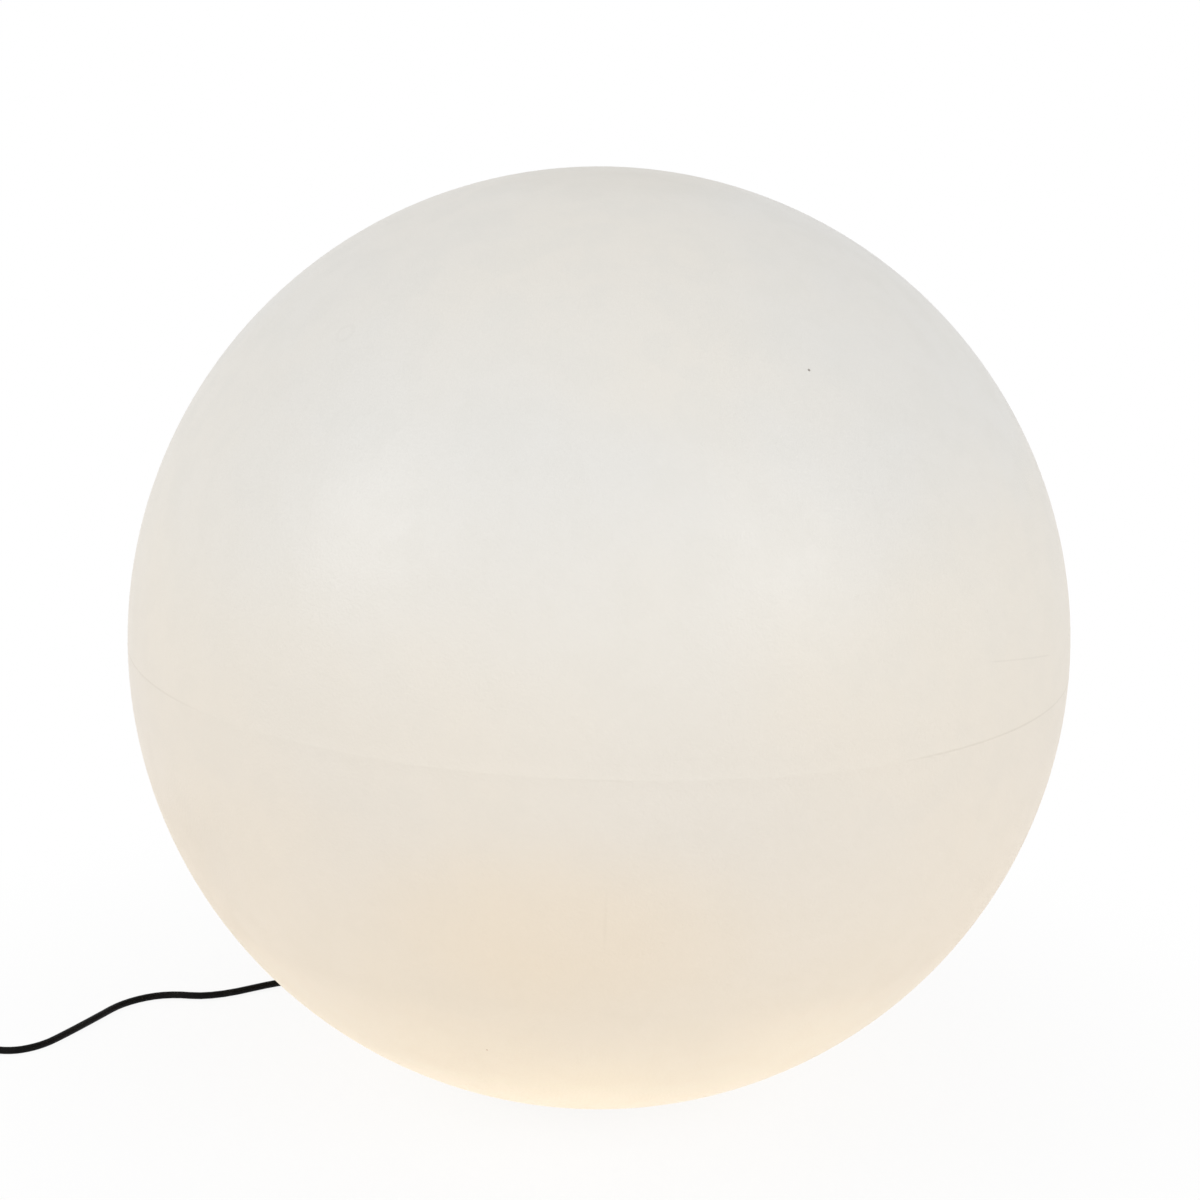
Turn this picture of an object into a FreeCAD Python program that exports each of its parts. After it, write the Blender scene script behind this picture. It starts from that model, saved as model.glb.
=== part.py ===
import FreeCAD, Part
import math
import os
import re
import Sketcher

# A garden globe light: a hollow white globe standing on a black base plate with rubber feet. Inside the globe
# a turret of the base carries a screw lampholder with its bulb. The mains cord enters the turret from below
# through a cable gland, runs over the ground and ends in a coil with its plug.
# Millimetres, +Z up, origin on the ground under the globe's centre, front towards -Y.

# ---------------------------------------------------------------- driving dimensions
SIZES = {
    # globe
    "globe_radius": 400, "globe_wall": 4, "globe_seat_radius": 140, "globe_mouth_radius": 75,
    "globe_boss_radius": 10, "globe_boss_height": 20,
    "insert_radius": 6, "insert_depth": 16.5, "insert_bore_depth": 14.5,
    # base plate, its feet and its seal
    "foot_radius": 10, "foot_thickness": 5, "foot_chamfer": 0.8, "foot_circle": 88, "foot_count": 6,
    "foot_recess_radius": 3.75, "foot_recess_depth": 3.5, "foot_boss_height": 4,
    "foot_screw_radius": 1.6, "foot_screw_length": 7.5, "foot_head_radius": 3.5, "foot_head_height": 2.5,
    "flange_radius": 105, "flange_thickness": 3, "skirt_wall": 3, "skirt_clearance": 2,
    "rib_thickness": 2.5, "rib_depth": 5, "notch_width": 14,
    "turret_foot_radius": 60, "turret_top_radius": 56, "turret_wall": 3, "turret_top": 104,
    "seal_thickness": 1.5, "seal_inner_radius": 78, "seal_outer_radius": 102, "seal_hole_radius": 6.6,
    # thumb screws that hold the globe down
    "thumb_circle": 90, "thumb_count": 3, "thumb_radius": 12, "thumb_gap": 0.1, "shank_radius": 4,
    "running_gap": 0.08, "shank_top": 27, "shank_bottom": 4, "scallop_radius": 3.2, "scallop_circle": 13.6,
    "scallop_count": 8, "captive_ring_radius": 6, "captive_ring_thickness": 0.9,
    # cable gland in the turret's roof
    "gland_flats": 22, "gland_hex_height": 5, "gland_stem_radius": 8, "gland_stem_length": 10,
    "gland_spigot_radius": 8.5, "gland_spigot_length": 14, "gland_nut_length": 14.5, "gland_nut_floor": 2,
    "gland_seal_radius": 6, "gland_seal_length": 10, "gland_washer": 1, "gland_washer_radius": 11,
    "lock_nut_height": 5, "boot_tip_radius": 4.2, "boot_root_radius": 6.4,
    # lampholder and its bracket
    "bracket_width": 22, "bracket_sheet": 1.5, "bracket_leg": 20, "bracket_foot": 40, "bracket_rise": 29.5,
    "bracket_screw_offset": 32, "bracket_screw_radius": 1.6, "bracket_head_radius": 3.6,
    "bracket_head_height": 2.5, "bracket_screw_length": 10, "bracket_boss_radius": 4.5,
    "bracket_boss_height": 9, "nipple_radius": 5, "nipple_bore_radius": 3.5, "nipple_length": 16,
    "nipple_above": 8.5, "nipple_nut_flats": 14, "nipple_nut_height": 4,
    "cup_radius": 20.5, "cup_wall": 2, "cup_floor": 3, "cup_height": 32.5,
    "core_depth": 8, "core_flange": 3, "sleeve_height": 35, "sleeve_lip_radius": 15,
    "terminal_offset": 9, "terminal_width": 6, "terminal_height": 7, "terminal_screw_radius": 1.5,
    "terminal_screw_length": 3, "contact_height": 3.9, "contact_strip": 0.6,
    "screw_shell_wall": 0.5, "screw_shell_height": 25,
    # bulb with an E27 cap
    "bulb_gap": 4, "bulb_cap_radius": 13, "bulb_cap_root": 12.2, "bulb_cap_inner": 11.6,
    "bulb_pitch": 3.6, "bulb_threads": 5, "bulb_cap_length": 27, "bulb_length": 108, "bulb_radius": 30,
    "diffuser_wall": 1.5, "diffuser_edge_radius": 27, "led_board_radius": 25.4, "led_board_thickness": 1.5,
    "led_count": 12, "led_circle": 17,
    # mains cord and its plug
    "cord_diameter": 6.5, "cord_exit": 56, "lead_diameter": 2, "lead_offset": 1.4,
    "coil_x": -635, "coil_y": 26.6, "coil_outer_radius": 54.6, "coil_pitch": 7.2, "coil_layer": 7.1,
    "coil_lift": 1.2, "tie_width": 12, "tie_thickness": 1, "tie_play": 0.3, "tie_angle": 60,
    "plug_radius": 18, "plug_flat": 16, "plug_length": 34, "plug_boot_length": 30, "plug_boot_tip": 4.4,
    "plug_boot_root": 7, "pin_radius": 2.4, "pin_length": 19, "pin_tip": 1.5, "pin_spacing": 19,
}

document = FreeCAD.newDocument("garden_globe_light")
sheet = document.addObject("Spreadsheet::Sheet", "Sizes")
for row, (alias, number) in enumerate(SIZES.items(), start=1):
    sheet.set(f"A{row}", alias.replace("_", " "))
    sheet.set(f"B{row}", str(number))
    sheet.setAlias(f"B{row}", alias)
document.recompute()

parts = {}

# heights of the stack, from the ground up, each worked out from the driving dimensions
FLANGE_BOTTOM = "(foot_thickness + foot_boss_height)"
FLANGE_TOP = f"({FLANGE_BOTTOM} + flange_thickness)"
SEAT = f"({FLANGE_TOP} + seal_thickness)"
GLOBE_CENTRE = f"({SEAT} + sqrt(globe_radius ^ 2 - globe_seat_radius ^ 2))"
ROOF_BOTTOM = "(turret_top - turret_wall)"
GLAND_WASHER = f"({ROOF_BOTTOM} - gland_washer)"
GLAND_HEX = f"({GLAND_WASHER} - gland_hex_height)"
GLAND_SPIGOT = f"({GLAND_HEX} - gland_spigot_length)"
GLAND_NUT = f"({GLAND_SPIGOT} - gland_nut_floor)"
GLAND_SEAL = f"({GLAND_SPIGOT} + gland_nut_floor)"
BRIDGE_TOP = "(turret_top + bracket_rise)"
BRIDGE_BOTTOM = f"({BRIDGE_TOP} - bracket_sheet)"
NIPPLE_TOP = f"({BRIDGE_TOP} + nipple_above)"
CUP_TOP = f"({BRIDGE_TOP} + cup_height)"
CORE_TOP = f"({CUP_TOP} + core_flange)"
CORE_BOTTOM = f"({CUP_TOP} - core_depth)"
SLEEVE_TOP = f"({CORE_TOP} + sleeve_height)"
BULB_TIP = f"({CORE_TOP} + bulb_gap)"
CAP_BOTTOM = f"({BULB_TIP} + 5)"
CAP_TOP = f"({CAP_BOTTOM} + bulb_cap_length)"
BULB_CENTRE = f"({BULB_TIP} + bulb_length - bulb_radius)"
DIFFUSER_EDGE = f"({BULB_CENTRE} - sqrt(bulb_radius ^ 2 - diffuser_edge_radius ^ 2))"
LED_BOARD = f"({DIFFUSER_EDGE} - led_board_thickness)"


# ---------------------------------------------------------------- helpers
def bound(text):
    """An expression of the sheet's words, with each word pointing at its cell."""
    return re.sub(r"[a-z][a-z0-9_]*", lambda m: f"Sizes.{m[0]}" if m[0] in SIZES else m[0], str(text))


def size(text):
    """The present value of an expression of the sheet's words, as a plain number."""
    return float(sheet.evalExpression(bound(text)))


def polar(radius, angle, sideways="0"):
    """Expressions for a point at an angle about the Z axis, moved sideways to its left."""
    return (f"({radius}) * cos({angle}) - ({sideways}) * sin({angle})",
            f"({radius}) * sin({angle}) + ({sideways}) * cos({angle})")


def place(item, x="0", y="0", z="0", turn=0):
    item.Placement = FreeCAD.Placement(FreeCAD.Vector(), FreeCAD.Rotation(FreeCAD.Vector(0, 0, 1), turn))
    for axis, text in zip("xyz", (x, y, z)):
        item.setExpression(f"Placement.Base.{axis}", bound(text))


def bind(item, sizes):
    for name, text in sizes.items():
        item.setExpression(name, bound(text))


def keep(label, item):
    """Names a finished sub-part after its node."""
    item.Label = label
    parts[label] = item
    return item


def solid(kind, x="0", y="0", z="0", turn=0, **sizes):
    item = document.addObject(f"Part::{kind}", f"{kind.lower()}_tool")
    bind(item, sizes)
    place(item, x, y, z, turn)
    return item


def fuse(items):
    item = document.addObject("Part::MultiFuse", "fuse_tool")
    item.Shapes = items
    return item


def cut(base, tools):
    item = document.addObject("Part::Cut", "cut_tool")
    item.Base = base
    item.Tool = tools[0] if len(tools) == 1 else fuse(tools)
    return item


def common(first, second):
    item = document.addObject("Part::MultiCommon", "common_tool")
    item.Shapes = [first, second]
    return item


def origin_feature(body, role):
    return next(item for item in body.Origin.OriginFeatures if item.Role == role)


def outline(body, plane, loops):
    """A sketch of closed straight-sided loops, whose corners are bound to the sheet."""
    sketch = body.newObject("Sketcher::SketchObject", "outline")
    sketch.AttachmentSupport = (origin_feature(body, plane), "")
    sketch.MapMode = "FlatFace"
    for corners in loops:
        first = sketch.GeometryCount
        spots = [FreeCAD.Vector(size(x), size(y), 0) for x, y in corners]
        for start, end in zip(spots, spots[1:] + spots[:1]):
            sketch.addGeometry(Part.LineSegment(start, end))
        for step, (x, y) in enumerate(corners):
            edge = first + step
            following = first + (step + 1) % len(corners)
            sketch.addConstraint(Sketcher.Constraint("Coincident", edge, 2, following, 1))
            for kind, text in (("DistanceX", x), ("DistanceY", y)):
                if text == "0":
                    axis = -2 if kind == "DistanceX" else -1
                    sketch.addConstraint(Sketcher.Constraint("PointOnObject", edge, 1, axis))
                else:
                    number = sketch.addConstraint(Sketcher.Constraint(kind, -1, 1, edge, 1, size(text)))
                    sketch.setExpression(f"Constraints[{number}]", bound(text))
    return sketch


def turned(name, corners):
    """A body made by turning a loop of (radius, height) corners about the Z axis."""
    body = document.addObject("PartDesign::Body", name)
    revolution = body.newObject("PartDesign::Revolution", "turning")
    revolution.Profile = outline(body, "XZ_Plane", [corners])
    revolution.ReferenceAxis = (revolution.Profile[0], ["V_Axis"])
    revolution.Angle = 360
    return body


def extruded(name, plane, loops, length):
    """A body made by padding loops equally to both sides of a plane."""
    body = document.addObject("PartDesign::Body", name)
    pad = body.newObject("PartDesign::Pad", "pad")
    pad.Profile = outline(body, plane, loops)
    pad.SideType = "Symmetric"
    pad.setExpression("Length", bound(length))
    return body


def shaped(body, kind, x="0", y="0", z="0", turn=0, **sizes):
    """Adds or takes away a primitive in a body, such as AdditiveBox or SubtractiveCylinder."""
    item = body.newObject(f"PartDesign::{kind}", kind.lower())
    bind(item, sizes)
    place(item, x, y, z, turn)
    return item


def repeated(body, originals, count):
    """Repeats features of a body around its Z axis."""
    document.recompute()
    pattern = body.newObject("PartDesign::PolarPattern", "ring")
    pattern.Originals = originals
    pattern.Axis = (origin_feature(body, "Z_Axis"), [""])
    pattern.Angle = 360
    pattern.setExpression("Occurrences", bound(count))
    body.Tip = pattern
    document.recompute()
    return pattern


def hexagon(flats, x="0", y="0", z="0", height="1"):
    return solid("Prism", x, y, z, Polygon="6", Circumradius=f"{flats} / sqrt(3)", Height=height)


def arc(start, direction, end):
    """The arc that leaves start along direction and ends at end."""
    chord = end.sub(start)
    across = chord.sub(FreeCAD.Vector(direction).multiply(chord.dot(direction)))
    radius = chord.dot(chord) / (2 * across.Length)
    inward = FreeCAD.Vector(across).normalize()
    centre = start.add(FreeCAD.Vector(inward).multiply(radius))
    middle = start.add(end).multiply(0.5).sub(centre).normalize().multiply(radius)
    return Part.Arc(start, centre.add(middle), end).toShape()


def tube(path, diameter, heading):
    """One tube along a path of tangent edges, with its volume compared with its section times its length."""
    wire = Part.Wire(path)
    ring = Part.Wire(Part.makeCircle(diameter / 2, wire.OrderedVertexes[0].Point, heading))
    shape = wire.makePipeShell([ring], True, False)
    expected = math.pi * diameter ** 2 / 4 * wire.Length
    print(f"  tube {wire.Length:.1f} mm long, volume {shape.Volume / expected:.5f} of section times length")
    return shape


def laid_tube(points, diameter):
    """A tube along straight runs joined by tangent arcs, as large as the runs beside each corner allow."""
    spots = [FreeCAD.Vector(*point) for point in points]
    runs = [end.sub(start) for start, end in zip(spots, spots[1:])]
    headings = [FreeCAD.Vector(run).normalize() for run in runs]
    path = []
    start = spots[0]
    radii = []
    for corner in range(1, len(spots) - 1):
        reach = 0.45 * min(runs[corner - 1].Length, runs[corner].Length)
        turn = headings[corner - 1].getAngle(headings[corner])
        radii.append(reach / math.tan(turn / 2))
        into = spots[corner].sub(FreeCAD.Vector(headings[corner - 1]).multiply(reach))
        out = spots[corner].add(FreeCAD.Vector(headings[corner]).multiply(reach))
        path.append(Part.LineSegment(start, into).toShape())
        path.append(arc(into, headings[corner - 1], out))
        start = out
    path.append(Part.LineSegment(start, spots[-1]).toShape())
    print("  radii", " ".join(f"{radius:.0f}" for radius in radii), "runs",
          " ".join(f"{run.Length:.0f}" for run in runs))
    return tube(path, diameter, headings[0])


def shape_part(label, shape):
    item = document.addObject("Part::Feature", label)
    item.Shape = shape
    item.Placement = FreeCAD.Placement()
    return keep(label, item)


# ---------------------------------------------------------------- base plate and turret, feet and seal
THUMB_ANGLES = (60, 180, 300)
FOOT_ANGLES = (30, 90, 150, 210, 270, 330)
RIB_ANGLES = (0, 105, 135, 240)
NOTCH_ANGLE = 122


def make_base_plate():
    # a flange with a down-turned skirt, ribs and foot bosses
    body = turned("base_plate", [
        ("turret_foot_radius - turret_wall", FLANGE_BOTTOM),
        ("flange_radius - skirt_wall", FLANGE_BOTTOM),
        ("flange_radius - skirt_wall", "skirt_clearance"),
        ("flange_radius", "skirt_clearance"),
        ("flange_radius", f"{FLANGE_TOP} - 1"),
        ("flange_radius - 1", FLANGE_TOP),
        ("turret_foot_radius - turret_wall", FLANGE_TOP),
    ])
    for angle in RIB_ANGLES:
        x, y = polar("turret_foot_radius - turret_wall", angle, "-rib_thickness / 2")
        shaped(body, "AdditiveBox", x, y, f"{FLANGE_BOTTOM} - rib_depth", angle, Width="rib_thickness",
               Length="flange_radius - skirt_wall - turret_foot_radius + turret_wall", Height="rib_depth")
    x, y = polar("foot_circle", FOOT_ANGLES[0])
    boss = shaped(body, "AdditiveCylinder", x, y, "foot_thickness", Radius="foot_radius",
                  Height="foot_boss_height")
    pilot = shaped(body, "SubtractiveCylinder", x, y, "foot_thickness", Radius="foot_screw_radius",
                   Height="foot_screw_length - foot_thickness + foot_recess_depth")
    repeated(body, [boss, pilot], "foot_count")
    x, y = polar("thumb_circle", THUMB_ANGLES[0])
    hole = shaped(body, "SubtractiveCylinder", x, y, "foot_thickness",
                  Radius="shank_radius + running_gap", Height=f"{FLANGE_TOP} - foot_thickness")
    repeated(body, [hole], "thumb_count")
    x, y = polar("flange_radius - 2 * skirt_wall", NOTCH_ANGLE, "-notch_width / 2")
    shaped(body, "SubtractiveBox", x, y, "0", NOTCH_ANGLE, Length="3 * skirt_wall", Width="notch_width",
           Height=FLANGE_BOTTOM)
    keep("base_plate", body)


def make_base_turret():
    # a hollow turret, welded on the flange, that stands up into the globe and carries the lampholder
    body = turned("base_turret", [
        ("turret_foot_radius - turret_wall", FLANGE_TOP),
        ("turret_foot_radius", FLANGE_TOP),
        ("turret_top_radius", "turret_top - 2"),
        ("turret_top_radius - 2", "turret_top"),
        ("gland_stem_radius + 0.1", "turret_top"),
        ("gland_stem_radius + 0.1", ROOF_BOTTOM),
        ("turret_top_radius - turret_wall", ROOF_BOTTOM),
    ])
    boss = shaped(body, "AdditiveCylinder", "bracket_screw_offset", "0", f"{ROOF_BOTTOM} - bracket_boss_height",
                  Radius="bracket_boss_radius", Height="bracket_boss_height")
    pilot = shaped(body, "SubtractiveCylinder", "bracket_screw_offset", "0",
                   "turret_top + bracket_sheet - bracket_screw_length",
                   Radius="bracket_screw_radius", Height="bracket_screw_length")
    repeated(body, [boss, pilot], "2")
    keep("base_turret", body)


def make_feet():
    for number, angle in enumerate(FOOT_ANGLES, start=1):
        foot = turned(f"foot_{number}", [
            ("foot_screw_radius", "foot_thickness"),
            ("foot_screw_radius", "foot_recess_depth"),
            ("foot_recess_radius", "foot_recess_depth"),
            ("foot_recess_radius", "0"),
            ("foot_radius - foot_chamfer", "0"),
            ("foot_radius", "foot_chamfer"),
            ("foot_radius", "foot_thickness"),
        ])
        place(foot, *polar("foot_circle", angle))
        keep(f"foot_{number}", foot)

    # six slotted screws, head down in the feet's recesses
    screws = document.addObject("PartDesign::Body", "feet_screws")
    x, y = polar("foot_circle", FOOT_ANGLES[0])
    head_bottom = "(foot_recess_depth - foot_head_height)"
    head = shaped(screws, "AdditiveCylinder", x, y, head_bottom, Radius="foot_head_radius",
                  Height="foot_head_height")
    shank = shaped(screws, "AdditiveCylinder", x, y, "foot_recess_depth", Radius="foot_screw_radius",
                   Height="foot_screw_length")
    slot = shaped(screws, "SubtractiveBox", f"{x} - foot_head_radius", f"{y} - 0.5", head_bottom,
                  Length="2 * foot_head_radius", Width="1", Height="0.9")
    repeated(screws, [head, shank, slot], "foot_count")
    keep("feet_screws", screws)


def make_seal():
    seal = turned("base_seal", [
        ("seal_inner_radius", FLANGE_TOP),
        ("seal_outer_radius", FLANGE_TOP),
        ("seal_outer_radius", SEAT),
        ("seal_inner_radius", SEAT),
    ])
    x, y = polar("thumb_circle", THUMB_ANGLES[0])
    hole = shaped(seal, "SubtractiveCylinder", x, y, FLANGE_TOP, Radius="seal_hole_radius",
                  Height="seal_thickness")
    repeated(seal, [hole], "thumb_count")
    keep("base_seal", seal)


# ---------------------------------------------------------------- thumb screws
def make_thumb_screws():
    for number, angle in enumerate(THUMB_ANGLES, start=1):
        spot = polar("thumb_circle", angle)
        top = f"({FLANGE_BOTTOM} - thumb_gap)"
        knob = turned(f"thumb_knob_{number}", [
            ("0", "skirt_clearance"),
            ("thumb_radius - 1", "skirt_clearance"),
            ("thumb_radius", "skirt_clearance + 1"),
            ("thumb_radius", f"{top} - 1"),
            ("thumb_radius - 1", top),
            ("shank_radius", top),
            ("shank_radius", "shank_bottom"),
            ("0", "shank_bottom"),
        ])
        slot = shaped(knob, "SubtractiveBox", "-thumb_radius", "-0.9", "skirt_clearance",
                      Length="2 * thumb_radius", Width="1.8", Height="1.2")
        scallop = shaped(knob, "SubtractiveCylinder", "scallop_circle", "0", "0", Radius="scallop_radius",
                         Height=FLANGE_BOTTOM)
        repeated(knob, [scallop], "scallop_count")
        place(knob, *spot)
        keep(f"thumb_knob_{number}", knob)

        shank = turned(f"thumb_shank_{number}", [
            ("0", "shank_bottom"),
            ("shank_radius", "shank_bottom"),
            ("shank_radius", "shank_top - 1"),
            ("shank_radius - 1", "shank_top"),
            ("0", "shank_top"),
        ])
        place(shank, *spot)
        keep(f"thumb_shank_{number}", shank)

        # the push-on ring keeps the loosened screw in the flange
        ring_bottom = f"({FLANGE_TOP} + thumb_gap)"
        ring = turned(f"captive_ring_{number}", [
            ("shank_radius", ring_bottom),
            ("captive_ring_radius", ring_bottom),
            ("captive_ring_radius", f"{ring_bottom} + captive_ring_thickness"),
            ("shank_radius", f"{ring_bottom} + captive_ring_thickness"),
        ])
        place(ring, *spot)
        keep(f"captive_ring_{number}", ring)


# ---------------------------------------------------------------- globe
def make_globe():
    # a hollow sphere of two moulded halves, welded together at its widest line
    ball = solid("Sphere", z=GLOBE_CENTRE, Radius="globe_radius")
    hollow = solid("Sphere", z=GLOBE_CENTRE, Radius="globe_radius - globe_wall")
    upper_space = solid("Cylinder", z=GLOBE_CENTRE, Radius="globe_radius + 10", Height="globe_radius + 10")
    keep("globe_upper", common(cut(ball, [hollow]), upper_space))

    # the lower half is flattened into a seat, with the mouth in its middle
    lower_space = solid("Cylinder", z=SEAT, Radius="globe_radius + 10", Height=f"{GLOBE_CENTRE} - {SEAT}")
    above_floor = solid("Cylinder", z=f"{SEAT} + globe_wall", Radius="globe_radius", Height="globe_radius")
    walls = cut(common(ball, lower_space), [common(hollow, above_floor)])
    mouth = solid("Cylinder", z=f"{SEAT} - 1", Radius="globe_mouth_radius", Height="globe_wall + 2")
    bosses = []
    holes = []
    for angle in THUMB_ANGLES:
        x, y = polar("thumb_circle", angle)
        bosses.append(solid("Cylinder", x, y, f"{SEAT} + 1", Radius="globe_boss_radius",
                            Height="globe_boss_height - 1"))
        bosses.append(solid("Cone", x, y, f"{SEAT} + 1", Radius1="globe_boss_radius + 4",
                            Radius2="globe_boss_radius", Height="globe_wall + 3"))
        holes.append(solid("Cylinder", x, y, f"{SEAT} - 1", Radius="insert_radius", Height="insert_depth + 1"))
    keep("globe_lower", cut(fuse([walls] + bosses), [mouth] + holes))

    # blind brass bushes moulded into the three bosses
    inserts = document.addObject("PartDesign::Body", "thread_inserts")
    x, y = polar("thumb_circle", THUMB_ANGLES[0])
    bush = shaped(inserts, "AdditiveCylinder", x, y, SEAT, Radius="insert_radius", Height="insert_depth")
    bore = shaped(inserts, "SubtractiveCylinder", x, y, SEAT, Radius="shank_radius + running_gap",
                  Height="insert_bore_depth")
    repeated(inserts, [bush, bore], "thumb_count")
    keep("thread_inserts", inserts)


# ---------------------------------------------------------------- cable gland
def make_gland():
    cord_radius = "cord_diameter / 2"
    stem = solid("Cylinder", z=GLAND_WASHER, Radius="gland_stem_radius",
                 Height="gland_washer + turret_wall + lock_nut_height + 2")
    spigot = solid("Cylinder", z=GLAND_SPIGOT, Radius="gland_spigot_radius", Height="gland_spigot_length")
    seat = hexagon("gland_flats", z=GLAND_HEX, height="gland_hex_height")
    bore = solid("Cylinder", z=GLAND_SPIGOT, Radius="nipple_bore_radius",
                 Height="gland_spigot_length + gland_hex_height + 2 * gland_stem_length")
    seal_room = solid("Cylinder", z=GLAND_SPIGOT, Radius="gland_seal_radius + 0.5",
                      Height="gland_seal_length + gland_nut_floor")
    keep("gland_body", cut(fuse([stem, spigot, seat]), [bore, seal_room]))

    keep("gland_washer", turned("gland_washer", [
        ("gland_stem_radius", GLAND_WASHER),
        ("gland_washer_radius", GLAND_WASHER),
        ("gland_washer_radius", ROOF_BOTTOM),
        ("gland_stem_radius", ROOF_BOTTOM),
    ]))
    keep("gland_seal", turned("gland_seal", [
        (cord_radius, GLAND_SEAL),
        ("gland_seal_radius", GLAND_SEAL),
        ("gland_seal_radius + 0.5", f"{GLAND_SEAL} + 1"),
        ("gland_seal_radius + 0.5", f"{GLAND_SEAL} + gland_seal_length"),
        (cord_radius, f"{GLAND_SEAL} + gland_seal_length"),
    ]))
    cap = hexagon("gland_flats", z=GLAND_NUT, height="gland_nut_length")
    dome = solid("Cone", z=GLAND_NUT, Radius1="gland_flats / 2 - 1.5",
                 Radius2="gland_flats / 2 - 1.5 + gland_nut_length", Height="gland_nut_length")
    thread = solid("Cylinder", z=GLAND_SPIGOT, Radius="gland_spigot_radius", Height="gland_nut_length")
    throat = solid("Cylinder", z=f"{GLAND_NUT} - 1", Radius="boot_root_radius + 0.1", Height="gland_nut_length")
    keep("gland_nut", cut(common(cap, dome), [thread, throat]))
    lock = hexagon("gland_flats", z="turret_top", height="lock_nut_height")
    lock_bore = solid("Cylinder", z="turret_top", Radius="gland_stem_radius", Height="lock_nut_height")
    keep("gland_lock_nut", cut(lock, [lock_bore]))

    # tapered sleeve that keeps the cord from kinking where it leaves the gland
    keep("cord_boot", turned("cord_boot", [
        (cord_radius, "cord_exit"),
        ("boot_tip_radius", "cord_exit"),
        ("boot_root_radius", GLAND_NUT),
        ("boot_root_radius", GLAND_SEAL),
        (cord_radius, GLAND_SEAL),
    ]))


# ---------------------------------------------------------------- lampholder
def make_bracket():
    leg = "bracket_leg"
    sheet_edge = "bracket_leg + bracket_sheet"
    foot_top = "turret_top + bracket_sheet"
    bracket = extruded("holder_bracket", "XZ_Plane", [[
        ("bracket_foot", "turret_top"),
        ("bracket_foot", foot_top),
        (sheet_edge, foot_top),
        (sheet_edge, BRIDGE_TOP),
        (f"-({sheet_edge})", BRIDGE_TOP),
        (f"-({sheet_edge})", foot_top),
        ("-bracket_foot", foot_top),
        ("-bracket_foot", "turret_top"),
        (f"-{leg}", "turret_top"),
        (f"-{leg}", BRIDGE_BOTTOM),
        (leg, BRIDGE_BOTTOM),
        (leg, "turret_top"),
    ]], "bracket_width")
    shaped(bracket, "SubtractiveCylinder", z=BRIDGE_BOTTOM, Radius="nipple_radius", Height="bracket_sheet")
    hole = shaped(bracket, "SubtractiveCylinder", "bracket_screw_offset", "0", "turret_top",
                  Radius="bracket_screw_radius + 0.4", Height="bracket_sheet")
    repeated(bracket, [hole], "2")
    keep("holder_bracket", bracket)

    screws = document.addObject("PartDesign::Body", "bracket_screws")
    shank = shaped(screws, "AdditiveCylinder", "bracket_screw_offset", "0",
                   f"{foot_top} - bracket_screw_length", Radius="bracket_screw_radius",
                   Height="bracket_screw_length")
    head = shaped(screws, "AdditiveCylinder", "bracket_screw_offset", "0", foot_top,
                  Radius="bracket_head_radius", Height="bracket_head_height")
    slot = shaped(screws, "SubtractiveBox", "bracket_screw_offset - bracket_head_radius", "-0.5",
                  f"{foot_top} + bracket_head_height - 1", Length="2 * bracket_head_radius", Width="1",
                  Height="1")
    repeated(screws, [shank, head, slot], "2")
    keep("bracket_screws", screws)

    keep("holder_nipple", turned("holder_nipple", [
        ("nipple_bore_radius", f"{NIPPLE_TOP} - nipple_length"),
        ("nipple_radius", f"{NIPPLE_TOP} - nipple_length"),
        ("nipple_radius", NIPPLE_TOP),
        ("nipple_bore_radius", NIPPLE_TOP),
    ]))
    nut = hexagon("nipple_nut_flats", z=f"{BRIDGE_BOTTOM} - nipple_nut_height", height="nipple_nut_height")
    nut_bore = solid("Cylinder", z=f"{BRIDGE_BOTTOM} - nipple_nut_height", Radius="nipple_radius",
                     Height="nipple_nut_height")
    keep("nipple_nut", cut(nut, [nut_bore]))


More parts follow.
